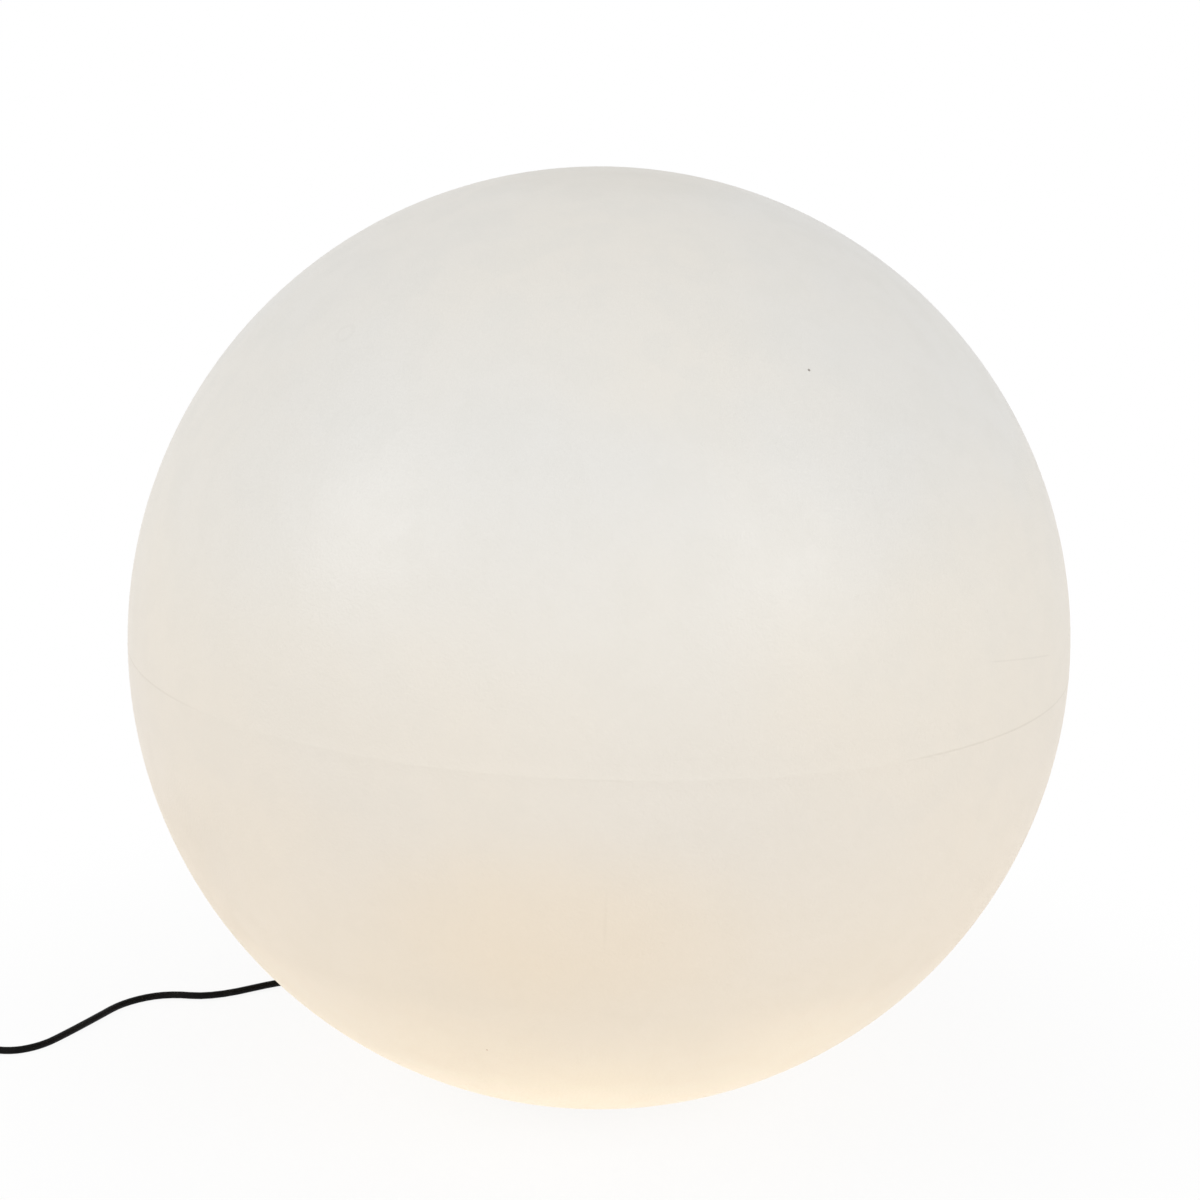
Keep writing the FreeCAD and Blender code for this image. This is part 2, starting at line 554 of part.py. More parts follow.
def make_lampholder():
    keep("holder_cup", turned("holder_cup", [
        ("nipple_radius", BRIDGE_TOP),
        ("cup_radius - 2", BRIDGE_TOP),
        ("cup_radius", f"{BRIDGE_TOP} + 2"),
        ("cup_radius", CUP_TOP),
        ("cup_radius - cup_wall", CUP_TOP),
        ("cup_radius - cup_wall", f"{BRIDGE_TOP} + cup_floor"),
        ("nipple_radius", f"{BRIDGE_TOP} + cup_floor"),
    ]))
    keep("holder_core", turned("holder_core", [
        ("0", CORE_BOTTOM),
        ("cup_radius - cup_wall", CORE_BOTTOM),
        ("cup_radius - cup_wall", CUP_TOP),
        ("cup_radius", CUP_TOP),
        ("cup_radius", CORE_TOP),
        ("0", CORE_TOP),
    ]))
    keep("holder_sleeve", turned("holder_sleeve", [
        ("cup_radius - cup_wall", CORE_TOP),
        ("cup_radius", CORE_TOP),
        ("cup_radius", f"{SLEEVE_TOP} - 2"),
        ("cup_radius - 1.5", SLEEVE_TOP),
        ("sleeve_lip_radius", SLEEVE_TOP),
        ("sleeve_lip_radius", f"{SLEEVE_TOP} - 2"),
        ("cup_radius - cup_wall", f"{SLEEVE_TOP} - 2"),
    ]))
    shell_bore = "bulb_cap_radius + running_gap"
    keep("screw_shell", turned("screw_shell", [
        (shell_bore, CORE_TOP),
        (f"{shell_bore} + screw_shell_wall", CORE_TOP),
        (f"{shell_bore} + screw_shell_wall", f"{CORE_TOP} + screw_shell_height"),
        (shell_bore, f"{CORE_TOP} + screw_shell_height"),
    ]))
    strip = solid("Box", "-7", "-2.5", CORE_TOP, Length="14", Width="5", Height="contact_strip")
    rivet = solid("Cylinder", z=CORE_TOP, Radius="2.2", Height="contact_height")
    keep("centre_contact", fuse([strip, rivet]))

    # two brass terminals under the core, each with its clamping screw
    half = "terminal_width / 2"
    terminals = document.addObject("PartDesign::Body", "terminals")
    block = shaped(terminals, "AdditiveBox", f"terminal_offset - {half}", f"-{half}",
                   f"{CORE_BOTTOM} - terminal_height", Length="terminal_width", Width="terminal_width",
                   Height="terminal_height")
    repeated(terminals, [block], "2")
    keep("terminals", terminals)
    screws = []
    for side in (1, -1):
        screw = solid("Cylinder", f"{side} * terminal_offset", f"{side} * -{half}",
                      f"{CORE_BOTTOM} - {half}", Radius="terminal_screw_radius",
                      Height="terminal_screw_length")
        screw.Placement.Rotation = FreeCAD.Rotation(FreeCAD.Vector(1, 0, 0), 90 * side)
        screws.append(screw)
    keep("terminal_screws", fuse(screws))


# ---------------------------------------------------------------- bulb
def make_bulb():
    keep("bulb_tip", turned("bulb_tip", [
        ("0", BULB_TIP),
        ("3", BULB_TIP),
        ("4.5", f"{BULB_TIP} + 1"),
        ("4.5", f"{BULB_TIP} + 1.5"),
        ("0", f"{BULB_TIP} + 1.5"),
    ]))
    keep("bulb_insulator", turned("bulb_insulator", [
        ("0", f"{BULB_TIP} + 1.5"),
        ("5", f"{BULB_TIP} + 1.5"),
        ("bulb_cap_inner", CAP_BOTTOM),
        ("bulb_cap_inner", f"{CAP_BOTTOM} + 3"),
        ("0", f"{CAP_BOTTOM} + 3"),
    ]))
    # the rolled thread of the cap, drawn as rounds of its pitch
    thread = [("bulb_cap_inner", CAP_TOP), ("bulb_cap_inner", CAP_BOTTOM), ("bulb_cap_root", CAP_BOTTOM)]
    for turn in range(SIZES["bulb_threads"]):
        for radius, part in (("bulb_cap_root", 0.1), ("bulb_cap_radius", 0.4), ("bulb_cap_radius", 0.7),
                             ("bulb_cap_root", 1.0)):
            thread.append((radius, f"{CAP_BOTTOM} + bulb_pitch * {turn + part:.1f}"))
    thread.append(("bulb_cap_radius", f"{CAP_BOTTOM} + bulb_pitch * {SIZES['bulb_threads'] + 0.5}"))
    thread.append(("bulb_cap_radius", CAP_TOP))
    keep("bulb_cap", turned("bulb_cap", thread))

    keep("bulb_housing", turned("bulb_housing", [
        ("bulb_cap_inner - 1.6", f"{CAP_TOP} - 7"),
        ("bulb_cap_inner", f"{CAP_TOP} - 7"),
        ("bulb_cap_inner", CAP_TOP),
        ("bulb_cap_radius + 1.2", CAP_TOP),
        ("bulb_cap_radius + 4", f"{CAP_TOP} + 6"),
        ("diffuser_edge_radius - 4.5", f"{CAP_TOP} + 20"),
        ("diffuser_edge_radius", DIFFUSER_EDGE),
        ("led_board_radius", DIFFUSER_EDGE),
        ("led_board_radius", LED_BOARD),
        ("led_board_radius - 1.6", LED_BOARD),
        ("diffuser_edge_radius - 6.6", f"{CAP_TOP} + 20.5"),
        ("bulb_cap_radius + 2.2", f"{CAP_TOP} + 6.5"),
        ("bulb_cap_inner - 1.6", f"{CAP_TOP} + 1"),
    ]))
    keep("led_board", turned("led_board", [
        ("0", LED_BOARD),
        ("led_board_radius", LED_BOARD),
        ("led_board_radius", DIFFUSER_EDGE),
        ("0", DIFFUSER_EDGE),
    ]))
    chips = document.addObject("PartDesign::Body", "led_chips")
    chip = shaped(chips, "AdditiveBox", "led_circle - 1.75", "-1.4", DIFFUSER_EDGE, Length="3.5", Width="2.8",
                  Height="0.8")
    repeated(chips, [chip], "led_count")
    keep("led_chips", chips)
    card = solid("Box", "-9", "-0.8", f"{CAP_TOP} + 3", Length="18", Width="1.6",
                 Height=f"{LED_BOARD} - {CAP_TOP} - 3")
    capacitor = solid("Cylinder", "0", "4.5", f"{CAP_TOP} + 8", Radius="4", Height="15")
    keep("driver_board", fuse([card, capacitor]))
    ball = solid("Sphere", z=BULB_CENTRE, Radius="bulb_radius")
    hollow = solid("Sphere", z=BULB_CENTRE, Radius="bulb_radius - diffuser_wall")
    above_edge = solid("Cylinder", z=DIFFUSER_EDGE, Radius="2 * bulb_radius", Height="3 * bulb_radius")
    keep("bulb_diffuser", common(cut(ball, [hollow]), above_edge))


# ---------------------------------------------------------------- wiring inside
def make_wiring():
    diameter = size("cord_diameter")
    exit_height = size("cord_exit")
    top = size(NIPPLE_TOP)
    sheath = Part.makeCylinder(diameter / 2, top - exit_height, FreeCAD.Vector(0, 0, exit_height))
    shape_part("cable_inner", sheath)
    # each lead rises out of the sheath and bends over to its terminal
    terminal = size(f"{CORE_BOTTOM} - terminal_height")
    for label, side in (("lead_brown", 1), ("lead_blue", -1)):
        near = side * size("lead_offset")
        far = side * size("terminal_offset")
        points = [(near, 0, top), (near, 0, top + 2.5), (far, 0, terminal - 2.5), (far, 0, terminal)]
        shape_part(label, laid_tube(points, size("lead_diameter")))


# ---------------------------------------------------------------- mains cord
# Height of the cord's centre line on the ground, and of the coil, which lies on its tie.
ON_GROUND = size("cord_diameter") / 2 + 0.05
ON_TIE = ON_GROUND + size("coil_lift")
# The route from the boot's tip to the coil. The first two corners bend the cord from the exit onto the ground
# close below it, and it then passes under the flange and out through the skirt's notch.
CORD_ROUTE = [
    (0, 0, 56), (0, 0, 30), (-13.35, 23.1, ON_GROUND), (-41, 72, ON_GROUND), (-86, 124, ON_GROUND),
    (-150, 157, ON_GROUND), (-222, 158, ON_GROUND), (-288, 137, ON_GROUND), (-351, 89.5, ON_GROUND),
    (-396, 95, ON_GROUND), (-431, 71, ON_GROUND), (-449, 34, ON_GROUND), (-469, -5, ON_GROUND),
    (-484, -31, ON_GROUND), (-507, -46, ON_GROUND), (-535, -41, ON_GROUND), (-566, -31, ON_GROUND),
    (-598, -28, ON_TIE), (-628.5, -28, ON_TIE),
]
# Turns in each of the coil's four layers: in, out, in and out again.
LAYER_TURNS = (3.75, 3.75, 3.75, 4)
# From the coil's upper outer turn down to the ground and up again to the plug's boot.
TOP_LAYER = ON_TIE + 3 * size("coil_layer")
TAIL_ROUTE = [
    (-691.4, 33.1, TOP_LAYER), (-691.4, 63.1, TOP_LAYER), (-690, 119, ON_GROUND), (-682, 165, ON_GROUND),
    (-666, 208, 16), (-657.6, 230.5, 16),
]


def coil_spot(turns):
    """The coil's centre line after so many turns: its radius and height, and the slopes of both."""
    pitch = size("coil_pitch")
    radius = size("coil_outer_radius")
    height = ON_TIE
    climb = 0
    done = 0
    inward = -1
    for layer, count in enumerate(LAYER_TURNS):
        part = min(max(turns - done, 0), count)
        radius += inward * pitch * part
        if part > 0:
            slope = inward * pitch
        inward = -inward
        done += count
        if layer < len(LAYER_TURNS) - 1:
            phase = min(max((turns - done + 0.25) / 0.5, 0), 1)
            height += size("coil_layer") * (1 - math.cos(math.pi * phase)) / 2
            climb += size("coil_layer") * math.pi * math.sin(math.pi * phase)
    ends = [sum(LAYER_TURNS[:layer]) for layer in range(len(LAYER_TURNS) + 1)]
    return radius, height, 0 if turns in ends else slope, climb


def coil_point(turns):
    """A point of the coil's centre line and its heading there."""
    radius, height, slope, climb = coil_spot(turns)
    angle = -math.pi / 2 - 2 * math.pi * turns
    out = FreeCAD.Vector(math.cos(angle), math.sin(angle), 0)
    along = FreeCAD.Vector(math.sin(angle), -math.cos(angle), 0)
    centre = FreeCAD.Vector(size("coil_x"), size("coil_y"), height)
    heading = FreeCAD.Vector(along).multiply(2 * math.pi * radius)
    heading = heading.add(FreeCAD.Vector(out).multiply(slope)).add(FreeCAD.Vector(0, 0, climb))
    return centre.add(out.multiply(radius)), heading.normalize()


def biarc(start, start_heading, end, end_heading):
    """Two arcs that join start to end and keep both headings."""
    chord = end.sub(start)
    both = start_heading.add(end_heading)
    spare = 2 * (1 - start_heading.dot(end_heading))
    reach = (math.sqrt(chord.dot(both) ** 2 + spare * chord.dot(chord)) - chord.dot(both)) / spare
    first = start.add(FreeCAD.Vector(start_heading).multiply(reach))
    last = end.sub(FreeCAD.Vector(end_heading).multiply(reach))
    middle = first.add(last).multiply(0.5)
    return [arc(start, start_heading, middle), arc(middle, last.sub(first).normalize(), end)]


def least_gap(path, diameter):
    """The least distance between the surfaces of two turns, measured on points 2 mm apart."""
    spots = []
    for edge in path:
        spots += edge.discretize(Distance=2)[:-1]
    turn = int(math.pi * size("coil_outer_radius - 4 * coil_pitch") / 2)
    least = min(spots[i].distanceToPoint(spots[j])
                for i in range(len(spots)) for j in range(i + turn, len(spots)))
    return least - diameter


def make_cord():
    diameter = size("cord_diameter")
    print("cord run")
    shape_part("cord_run", laid_tube(CORD_ROUTE, diameter))

    print("cord coil")
    spots = [coil_point(quarter / 4) for quarter in range(int(4 * sum(LAYER_TURNS)) + 1)]
    (first, first_heading), (last, last_heading) = spots[0], spots[-1]
    path = [Part.LineSegment(first.sub(FreeCAD.Vector(first_heading).multiply(diameter)), first).toShape()]
    for (start, start_heading), (end, end_heading) in zip(spots, spots[1:]):
        path += biarc(start, start_heading, end, end_heading)
    path.append(Part.LineSegment(last, last.add(FreeCAD.Vector(last_heading).multiply(diameter))).toShape())
    print(f"  least gap between turns {least_gap(path, diameter):.2f} mm")
    shape_part("cord_coil", tube(path, diameter, first_heading))

    print("cord tail")
    shape_part("cord_tail", laid_tube(TAIL_ROUTE, diameter))


def make_coil_tie():
    # a flat strap closed round the bundle of turns, in a plane through the coil's axis
    half = "cord_diameter / 2"
    inner = f"coil_outer_radius - {max(LAYER_TURNS[:3])} * coil_pitch - {half} - tie_play"
    outer = f"coil_outer_radius + {half} + tie_play"
    low = f"{ON_TIE} - {half} - 0.1"
    high = f"{TOP_LAYER} + {half} + 0.1"
    loops = []
    for grow, corner in (("tie_thickness", "4"), ("0", "3.4")):
        left, right = f"{inner} - {grow}", f"{outer} + {grow}"
        bottom, top = f"{low} - {grow}", f"{high} + {grow}"
        loops.append([
            (f"{left} + {corner}", bottom), (f"{right} - {corner}", bottom),
            (right, f"{bottom} + {corner} / 2"), (right, f"{top} - {corner} / 2"),
            (f"{right} - {corner}", top), (f"{left} + {corner}", top),
            (left, f"{top} - {corner} / 2"), (left, f"{bottom} + {corner} / 2"),
        ])
    tie = extruded("coil_tie", "XZ_Plane", loops, "tie_width")
    place(tie, "coil_x", "coil_y", "0", size("tie_angle"))
    keep("coil_tie", tie)


# ---------------------------------------------------------------- plug
def lay_along_tail(item):
    """Lays a piece that was built along +Z, with its foot at the origin, onto the cord's end."""
    before, end = (FreeCAD.Vector(*point) for point in TAIL_ROUTE[-2:])
    heading = end.sub(before)
    turn = math.degrees(math.atan2(heading.y, heading.x)) + 90
    tilt = FreeCAD.Rotation(FreeCAD.Vector(1, 0, 0), 90)
    item.Placement = FreeCAD.Placement(end, FreeCAD.Rotation(FreeCAD.Vector(0, 0, 1), turn).multiply(tilt))
    return item


def make_plug():
    boot = [("0", "0"), ("plug_boot_tip", "0")]
    rings = 5
    step = f"plug_boot_length / {rings}"
    for ring in range(rings):
        for part, depth in ((0.35, "0"), (0.45, "0.7"), (0.85, "0.7"), (0.95, "0")):
            share = (ring + part) / rings
            radius = f"plug_boot_tip + (plug_boot_root - plug_boot_tip) * {share:.3f} - {depth}"
            boot.append((radius, f"{step} * {ring + part}"))
    boot += [("plug_boot_root", "plug_boot_length"), ("0", "plug_boot_length")]
    keep("plug_boot", lay_along_tail(turned("plug_boot", boot)))

    foot = "plug_boot_length"
    turned_body = turned("plug_turning", [
        ("0", foot),
        ("plug_boot_root + 1.5", foot),
        ("plug_boot_root + 3", f"{foot} + 2"),
        ("plug_radius - 4.5", f"{foot} + 12"),
        ("plug_radius - 2.5", f"{foot} + 20"),
        ("plug_radius", f"{foot} + 22.5"),
        ("plug_radius", f"{foot} + plug_length - 1"),
        ("plug_radius - 1", f"{foot} + plug_length"),
        ("0", f"{foot} + plug_length"),
    ])
    flats = solid("Box", "-plug_radius", "-plug_flat", foot, Length="2 * plug_radius", Width="2 * plug_flat",
                  Height="plug_length")
    notches = [solid("Cylinder", "0", f"{side} * (plug_flat + 1.5)", f"{foot} + 23", Radius="3.6",
                     Height="plug_length") for side in (1, -1)]
    keep("plug_body", lay_along_tail(cut(common(turned_body, flats), notches)))

    face = "(plug_boot_length + plug_length)"
    pins = []
    for side in (1, -1):
        pins.append(solid("Cylinder", f"{side} * pin_spacing / 2", "0", face, Radius="pin_radius",
                          Height="pin_length - pin_tip"))
        pins.append(solid("Cone", f"{side} * pin_spacing / 2", "0", f"{face} + pin_length - pin_tip",
                          Radius1="pin_radius", Radius2="pin_radius - 1.2", Height="pin_tip"))
    keep("plug_pins", lay_along_tail(fuse(pins)))


# ---------------------------------------------------------------- build, check and write
for make in (make_base_plate, make_base_turret, make_feet, make_seal, make_thumb_screws, make_globe,
             make_gland, make_bracket, make_lampholder, make_bulb, make_wiring, make_cord,
             make_coil_tie, make_plug):
    make()
document.recompute()

faults = [f"{item.Label}: {state}" for item in document.Objects for state in item.State
          if state in ("Invalid", "Error")]
faults += [f"{label}: bad shape" for label, item in parts.items()
           if item.Shape.isNull() or not item.Shape.isValid() or item.Shape.Volume <= 0]
if faults:
    raise RuntimeError("; ".join(faults))

os.makedirs("parts", exist_ok=True)
for label, item in parts.items():
    item.Shape.exportStep(os.path.join("parts", f"{label}.step"))
    box = item.Shape.BoundBox
    print(f"{label}: {len(item.Shape.Solids)} solid(s), {item.Shape.Volume / 1000:.2f} cm3,"
          f" z {box.ZMin:.2f} to {box.ZMax:.2f}")
print(len(parts), "nodes written")
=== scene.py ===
import bmesh
import bpy
import math
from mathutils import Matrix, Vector


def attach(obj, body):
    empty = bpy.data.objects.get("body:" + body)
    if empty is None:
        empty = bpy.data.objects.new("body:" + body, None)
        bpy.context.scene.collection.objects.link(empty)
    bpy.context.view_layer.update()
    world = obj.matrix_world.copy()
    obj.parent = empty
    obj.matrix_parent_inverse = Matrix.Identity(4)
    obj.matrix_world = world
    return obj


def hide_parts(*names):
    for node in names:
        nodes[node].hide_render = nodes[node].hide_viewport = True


# A garden globe light. Metres, +Z up, origin on the ground under the globe's centre, front towards -Y.
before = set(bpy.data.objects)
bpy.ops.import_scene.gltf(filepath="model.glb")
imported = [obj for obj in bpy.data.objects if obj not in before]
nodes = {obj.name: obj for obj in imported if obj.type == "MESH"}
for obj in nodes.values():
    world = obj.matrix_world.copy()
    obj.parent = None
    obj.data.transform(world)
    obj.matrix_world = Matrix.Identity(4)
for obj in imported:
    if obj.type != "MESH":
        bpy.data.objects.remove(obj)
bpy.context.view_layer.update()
print("frame loaded,", len(nodes), "nodes")

view = {
    "place": (0, -2.03765, 0.91745), "tip": 75.44, "roll": 1.97,  # degrees
    "lens": 73.09, "sensor": 36, "shift": (0.0008, 0.0315),  # millimetres, shares of the picture
}
bpy.ops.object.camera_add(location=view["place"])
camera = bpy.context.object
camera.rotation_mode = "ZYX"
camera.rotation_euler = (math.radians(view["tip"]), 0, math.radians(view["roll"]))
camera.data.sensor_width = view["sensor"]
camera.data.lens = view["lens"]
camera.data.shift_x, camera.data.shift_y = view["shift"]
bpy.context.scene.camera = camera
print("camera placed")


class Wire:
    # a socket of a finish, so that the maths of a pattern reads as sums
    def __init__(self, tree, socket=None):
        self.tree = tree
        self.socket = socket

    def node(self, kind, settings=(), sockets=(), out=0):
        made = self.tree.nodes.new("ShaderNode" + kind)
        for name, value in dict(settings).items():
            if name == "stops":
                setStops(made.color_ramp.elements, value)
            else:
                setattr(made, name, value)
        for name, value in dict(sockets).items():
            socket = made.inputs[name]
            if isinstance(value, Wire):
                self.tree.links.new(value.socket, socket)
            else:
                socket.default_value = (*value, 1) if socket.type == "RGBA" else value
        return Wire(self.tree, made.outputs[out] if made.outputs else None)

    def maths(self, operation, *values):
        return self.node("Math", {"operation": operation}, enumerate(values))

    def __add__(self, other):
        return self.maths("ADD", self, other)

    def __sub__(self, other):
        return self.maths("SUBTRACT", self, other)

    def __rsub__(self, other):
        return self.maths("SUBTRACT", other, self)

    def __mul__(self, other):
        return self.maths("MULTIPLY", self, other)

    def __abs__(self):
        return self.maths("ABSOLUTE", self)

    __radd__ = __add__
    __rmul__ = __mul__

    def between(self, low, high):  # 0 below low, 1 above high, smooth from one to the other
        return self.node("MapRange", {"interpolation_type": "SMOOTHSTEP"},
                         {"Value": self, "From Min": low, "From Max": high})

    def blend(self, first, second):  # this wire mixes two colours
        return self.node("Mix", {"data_type": "RGBA"}, {0: self, 6: first, 7: second}, out=2)

    def sum(self, other):  # two colours of light added up
        return self.node("Mix", {"data_type": "RGBA", "blend_type": "ADD"},
                         {0: 1.0, 6: self, 7: other}, out=2)

    def ramp(self, stops):
        return self.node("ValToRGB", {"stops": stops}, {"Fac": self})

    def axis(self, name):
        return self.node("SeparateXYZ", (), {0: self}, out=name)

    def away(self, spot):  # distance of this place from a spot
        return self.node("VectorMath", {"operation": "DISTANCE"}, {0: self, 1: spot}, out="Value")

    def stretched(self, scale, turn=(0, 0, 0), shift=(0, 0, 0)):
        return self.node("Mapping", (), {"Vector": self, "Location": shift, "Rotation": turn, "Scale": scale})

    def noise(self, scale, detail=2.0):
        return self.node("TexNoise", (), {"Vector": self, "Scale": scale, "Detail": detail})

    def cells(self, scale):
        return self.node("TexVoronoi", (), {"Vector": self, "Scale": scale}, out="Distance")

    def relief(self, reach):  # a bump that stands up by reach where this wire is 1
        return self.node("Bump", (), {"Strength": 1.0, "Distance": reach, "Height": self})


def setStops(elements, stops):
    while len(elements) < len(stops):
        elements.new(1)
    for element, (spot, colour) in zip(elements, stops):
        element.position = spot
        element.color = (*colour, 1)


def newFinish(name, constants, varying):
    # varying takes the place on the object and gives the sockets that change over the surface
    material = bpy.data.materials.new(name)
    material.use_nodes = True
    material.node_tree.nodes.clear()
    start = Wire(material.node_tree)
    place = start.node("TexCoord", out="Object")
    shader = start.node("BsdfPrincipled", (), {**constants, **varying(place)})
    start.node("OutputMaterial", (), {"Surface": shader})
    return material


mergeReach = 0.000004  # corners nearer than this become one
near = 0.0001  # places nearer than this count as level


def choose(*pieces):
    # leaves edit mode, with these pieces selected and the first of them active
    if bpy.context.mode != "OBJECT":
        bpy.ops.object.mode_set(mode="OBJECT")
    bpy.ops.object.select_all(action="DESELECT")
    for piece in pieces:
        piece.select_set(True)
    if pieces:
        bpy.context.view_layer.objects.active = pieces[0]


def startPiece(kind, **settings):
    # a primitive, open in edit mode and selected all over by its verts
    choose()
    getattr(bpy.ops.mesh, f"primitive_{kind}_add")(**settings)
    bpy.ops.object.mode_set(mode="EDIT")
    bpy.ops.mesh.select_mode(type="VERT")
    bpy.ops.mesh.select_all(action="SELECT")
    return bpy.context.object


def pick(kind, wanted):
    # selects the verts, edges or faces whose middle and self pass the test
    piece = bpy.context.object
    bpy.ops.mesh.select_mode(type=kind)
    bpy.ops.mesh.select_all(action="DESELECT")
    mesh = bmesh.from_edit_mesh(piece.data)
    for part in {"VERT": mesh.verts, "EDGE": mesh.edges, "FACE": mesh.faces}[kind]:
        corners = [part.co] if kind == "VERT" else [vert.co for vert in part.verts]
        middle = piece.matrix_world @ (sum(corners, Vector()) / len(corners))
        part.select_set(bool(wanted(middle, part)))
    mesh.select_flush_mode()
    bmesh.update_edit_mesh(piece.data)


def closeUp():
    # merges doubles, drops what is left loose and turns every face outwards
    bpy.ops.mesh.select_all(action="SELECT")
    bpy.ops.mesh.remove_doubles(threshold=mergeReach)
    bpy.ops.mesh.select_all(action="SELECT")
    bpy.ops.mesh.delete_loose()
    bpy.ops.mesh.select_all(action="SELECT")
    bpy.ops.mesh.normals_make_consistent(inside=False)


def drawn(corners, at=(0, 0)):
    # a line of (radius, height) corners, drawn corner by corner and left open in edit mode
    x, y = at
    radius, height = corners[0]
    piece = startPiece("plane", size=0.001, location=(x + radius, y, height))
    bpy.ops.mesh.merge(type="CENTER")  # the plane shrinks to the first corner
    for nextRadius, nextHeight in corners[1:]:
        step = (nextRadius - radius, 0, nextHeight - height)
        bpy.ops.mesh.extrude_vertices_move(TRANSFORM_OT_translate={"value": step})
        radius, height = nextRadius, nextHeight
    return piece


def turned(corners, at=(0, 0), steps=96):
    # such a line, spun about an upright axis
    piece = drawn(corners, at)
    bpy.ops.mesh.select_all(action="SELECT")
    bpy.ops.mesh.spin(steps=steps, angle=math.tau, center=(*at, 0), axis=(0, 0, 1))
    closeUp()
    return piece


def rod(radius, low, high, at=(0, 0), steps=48):
    # a round solid: a boss, or a cutter for a hole
    return turned([(0, low), (radius, low), (radius, high), (0, high)], at, steps)


def grooved(sleeve):
    # the side of a tapered sleeve from its tip to its shoulder, with a groove cut into each of its rings
    line = []
    for ring in range(sleeve["rings"]):
        for part, depth in zip(sleeve["ringParts"], (0, sleeve["depth"], sleeve["depth"], 0)):
            share = (ring + part) / sleeve["rings"]
            radius = sleeve["tip"] + (sleeve["root"] - sleeve["tip"]) * share - depth
            line.append((radius, sleeve["low"] + (sleeve["shoulder"] - sleeve["low"]) * share))
    return line


def block(low, high):
    # a box from its lowest to its highest corner
    low, high = Vector(low), Vector(high)
    middle = (low + high) / 2
    piece = startPiece("cube", size=1, location=middle)
    bpy.ops.transform.resize(value=high - low, center_override=middle)
    return piece


def around(circle, angle):
    # the place at an angle, in degrees, on a circle about the light's axis
    return circle * math.cos(math.radians(angle)), circle * math.sin(math.radians(angle))


def modify(piece, kind, **settings):
    # adds a modifier to a piece and applies it
    choose(piece)
    modifier = piece.modifiers.new(kind.lower(), kind)
    for name, value in settings.items():
        setattr(modifier, name, value)
    bpy.ops.object.modifier_apply(modifier=modifier.name)


def roundEdges(piece, width, segments, angle=35):
    # rounds the edges that turn by more than the angle, in degrees
    modify(piece, "BEVEL", width=width, segments=segments, limit_method="ANGLE",
           angle_limit=math.radians(angle), use_clamp_overlap=True)


def combine(piece, other, operation):
    # cuts the other piece away, welds it on or keeps what both share, and drops it
    modify(piece, "BOOLEAN", operation=operation, object=other, solver="EXACT")
    bpy.data.objects.remove(other)


def joined(piece, *others):
    # several shapes made one piece
    choose(piece, *others)
    bpy.ops.object.join()
    return piece


def rooted(piece):
    # puts a piece's place, turn and size into its mesh
    choose(piece)
    bpy.ops.object.transform_apply(location=True, rotation=True, scale=True)
    return piece


def laid(piece, at=(0, 0, 0), turn=(0, 0, 0)):
    # a piece modelled upright about the origin, laid where it belongs
    rooted(piece)
    piece.location = at
    piece.rotation_euler = [math.radians(angle) for angle in turn]
    return piece


def copied(pattern, spot):
    # a copy with its own mesh, at another place
    rooted(pattern)
    piece = pattern.copy()
    piece.data = pattern.data.copy()
    bpy.context.collection.objects.link(piece)
    piece.location = spot
    return piece


def settle(piece, name, body, finish, stands, sharp=35):
    # finishes a piece: its place goes into its mesh, and it rides on its body and stands for CAD nodes
    rooted(piece)
    bpy.ops.object.shade_smooth_by_angle(angle=math.radians(sharp))
    piece.name = piece.data.name = name
    piece.data.materials.append(finish)
    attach(piece, body)
    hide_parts(*stands)
    return piece


# The cord lies on the ground from the boot under the base to its coil and plug, which are put away beside
# the view on the left.
cordLine = {
    "diameter": 0.0065, "length": 5.0,
    "route": [
        (0, 0, 0.056), (0, 0, 0.03), (-0.01335, 0.0231, 0.0033), (-0.041, 0.072, 0.0033),
        (-0.086, 0.124, 0.0033), (-0.15, 0.157, 0.0033), (-0.222, 0.158, 0.0033), (-0.288, 0.137, 0.0033),
        (-0.351, 0.0895, 0.0033), (-0.396, 0.095, 0.0033), (-0.431, 0.071, 0.0033), (-0.449, 0.034, 0.0033),
        (-0.469, -0.005, 0.0033), (-0.484, -0.031, 0.0033), (-0.507, -0.046, 0.0033),
        (-0.535, -0.041, 0.0033), (-0.566, -0.031, 0.0033), (-0.598, -0.028, 0.0045),
        (-0.6285, -0.028, 0.0045),
    ],
    "tail": [
        (-0.6914, 0.0331, 0.0258), (-0.6914, 0.0631, 0.0258), (-0.69, 0.119, 0.0033),
        (-0.682, 0.165, 0.0033), (-0.666, 0.208, 0.016), (-0.6576, 0.2305, 0.016),
    ],
}
coil = {
    "centre": (-0.635, 0.0266), "low": 0.0045, "outerRadius": 0.0546, "pitch": 0.0072, "layer": 0.0071,
    "layerTurns": (3.75, 3.75, 3.75, 4), "perTurn": 16,  # wound in, out, in and out
    "startAngle": -90, "tieAngle": 60,  # degrees
    "climbTurns": 0.5,  # how much of a turn the step up to the next layer takes
}


def coilSpot(turns):
    # the control point of the coil after so many turns, clockwise from above
    radius, height, done, inward = coil["outerRadius"], coil["low"], 0, -1
    for layer, count in enumerate(coil["layerTurns"]):
        radius += inward * coil["pitch"] * min(max(turns - done, 0), count)
        inward = -inward
        done += count
        if layer < len(coil["layerTurns"]) - 1:
            climb = min(max((turns - done) / coil["climbTurns"] + 0.5, 0), 1)
            height += coil["layer"] * (1 - math.cos(math.pi * climb)) / 2
    radius /= math.cos(math.pi / coil["perTurn"])  # the line runs inside its control points
    angle = math.radians(coil["startAngle"]) - math.tau * turns
    x, y = coil["centre"]
    return x + radius * math.cos(angle), y + radius * math.sin(angle), height


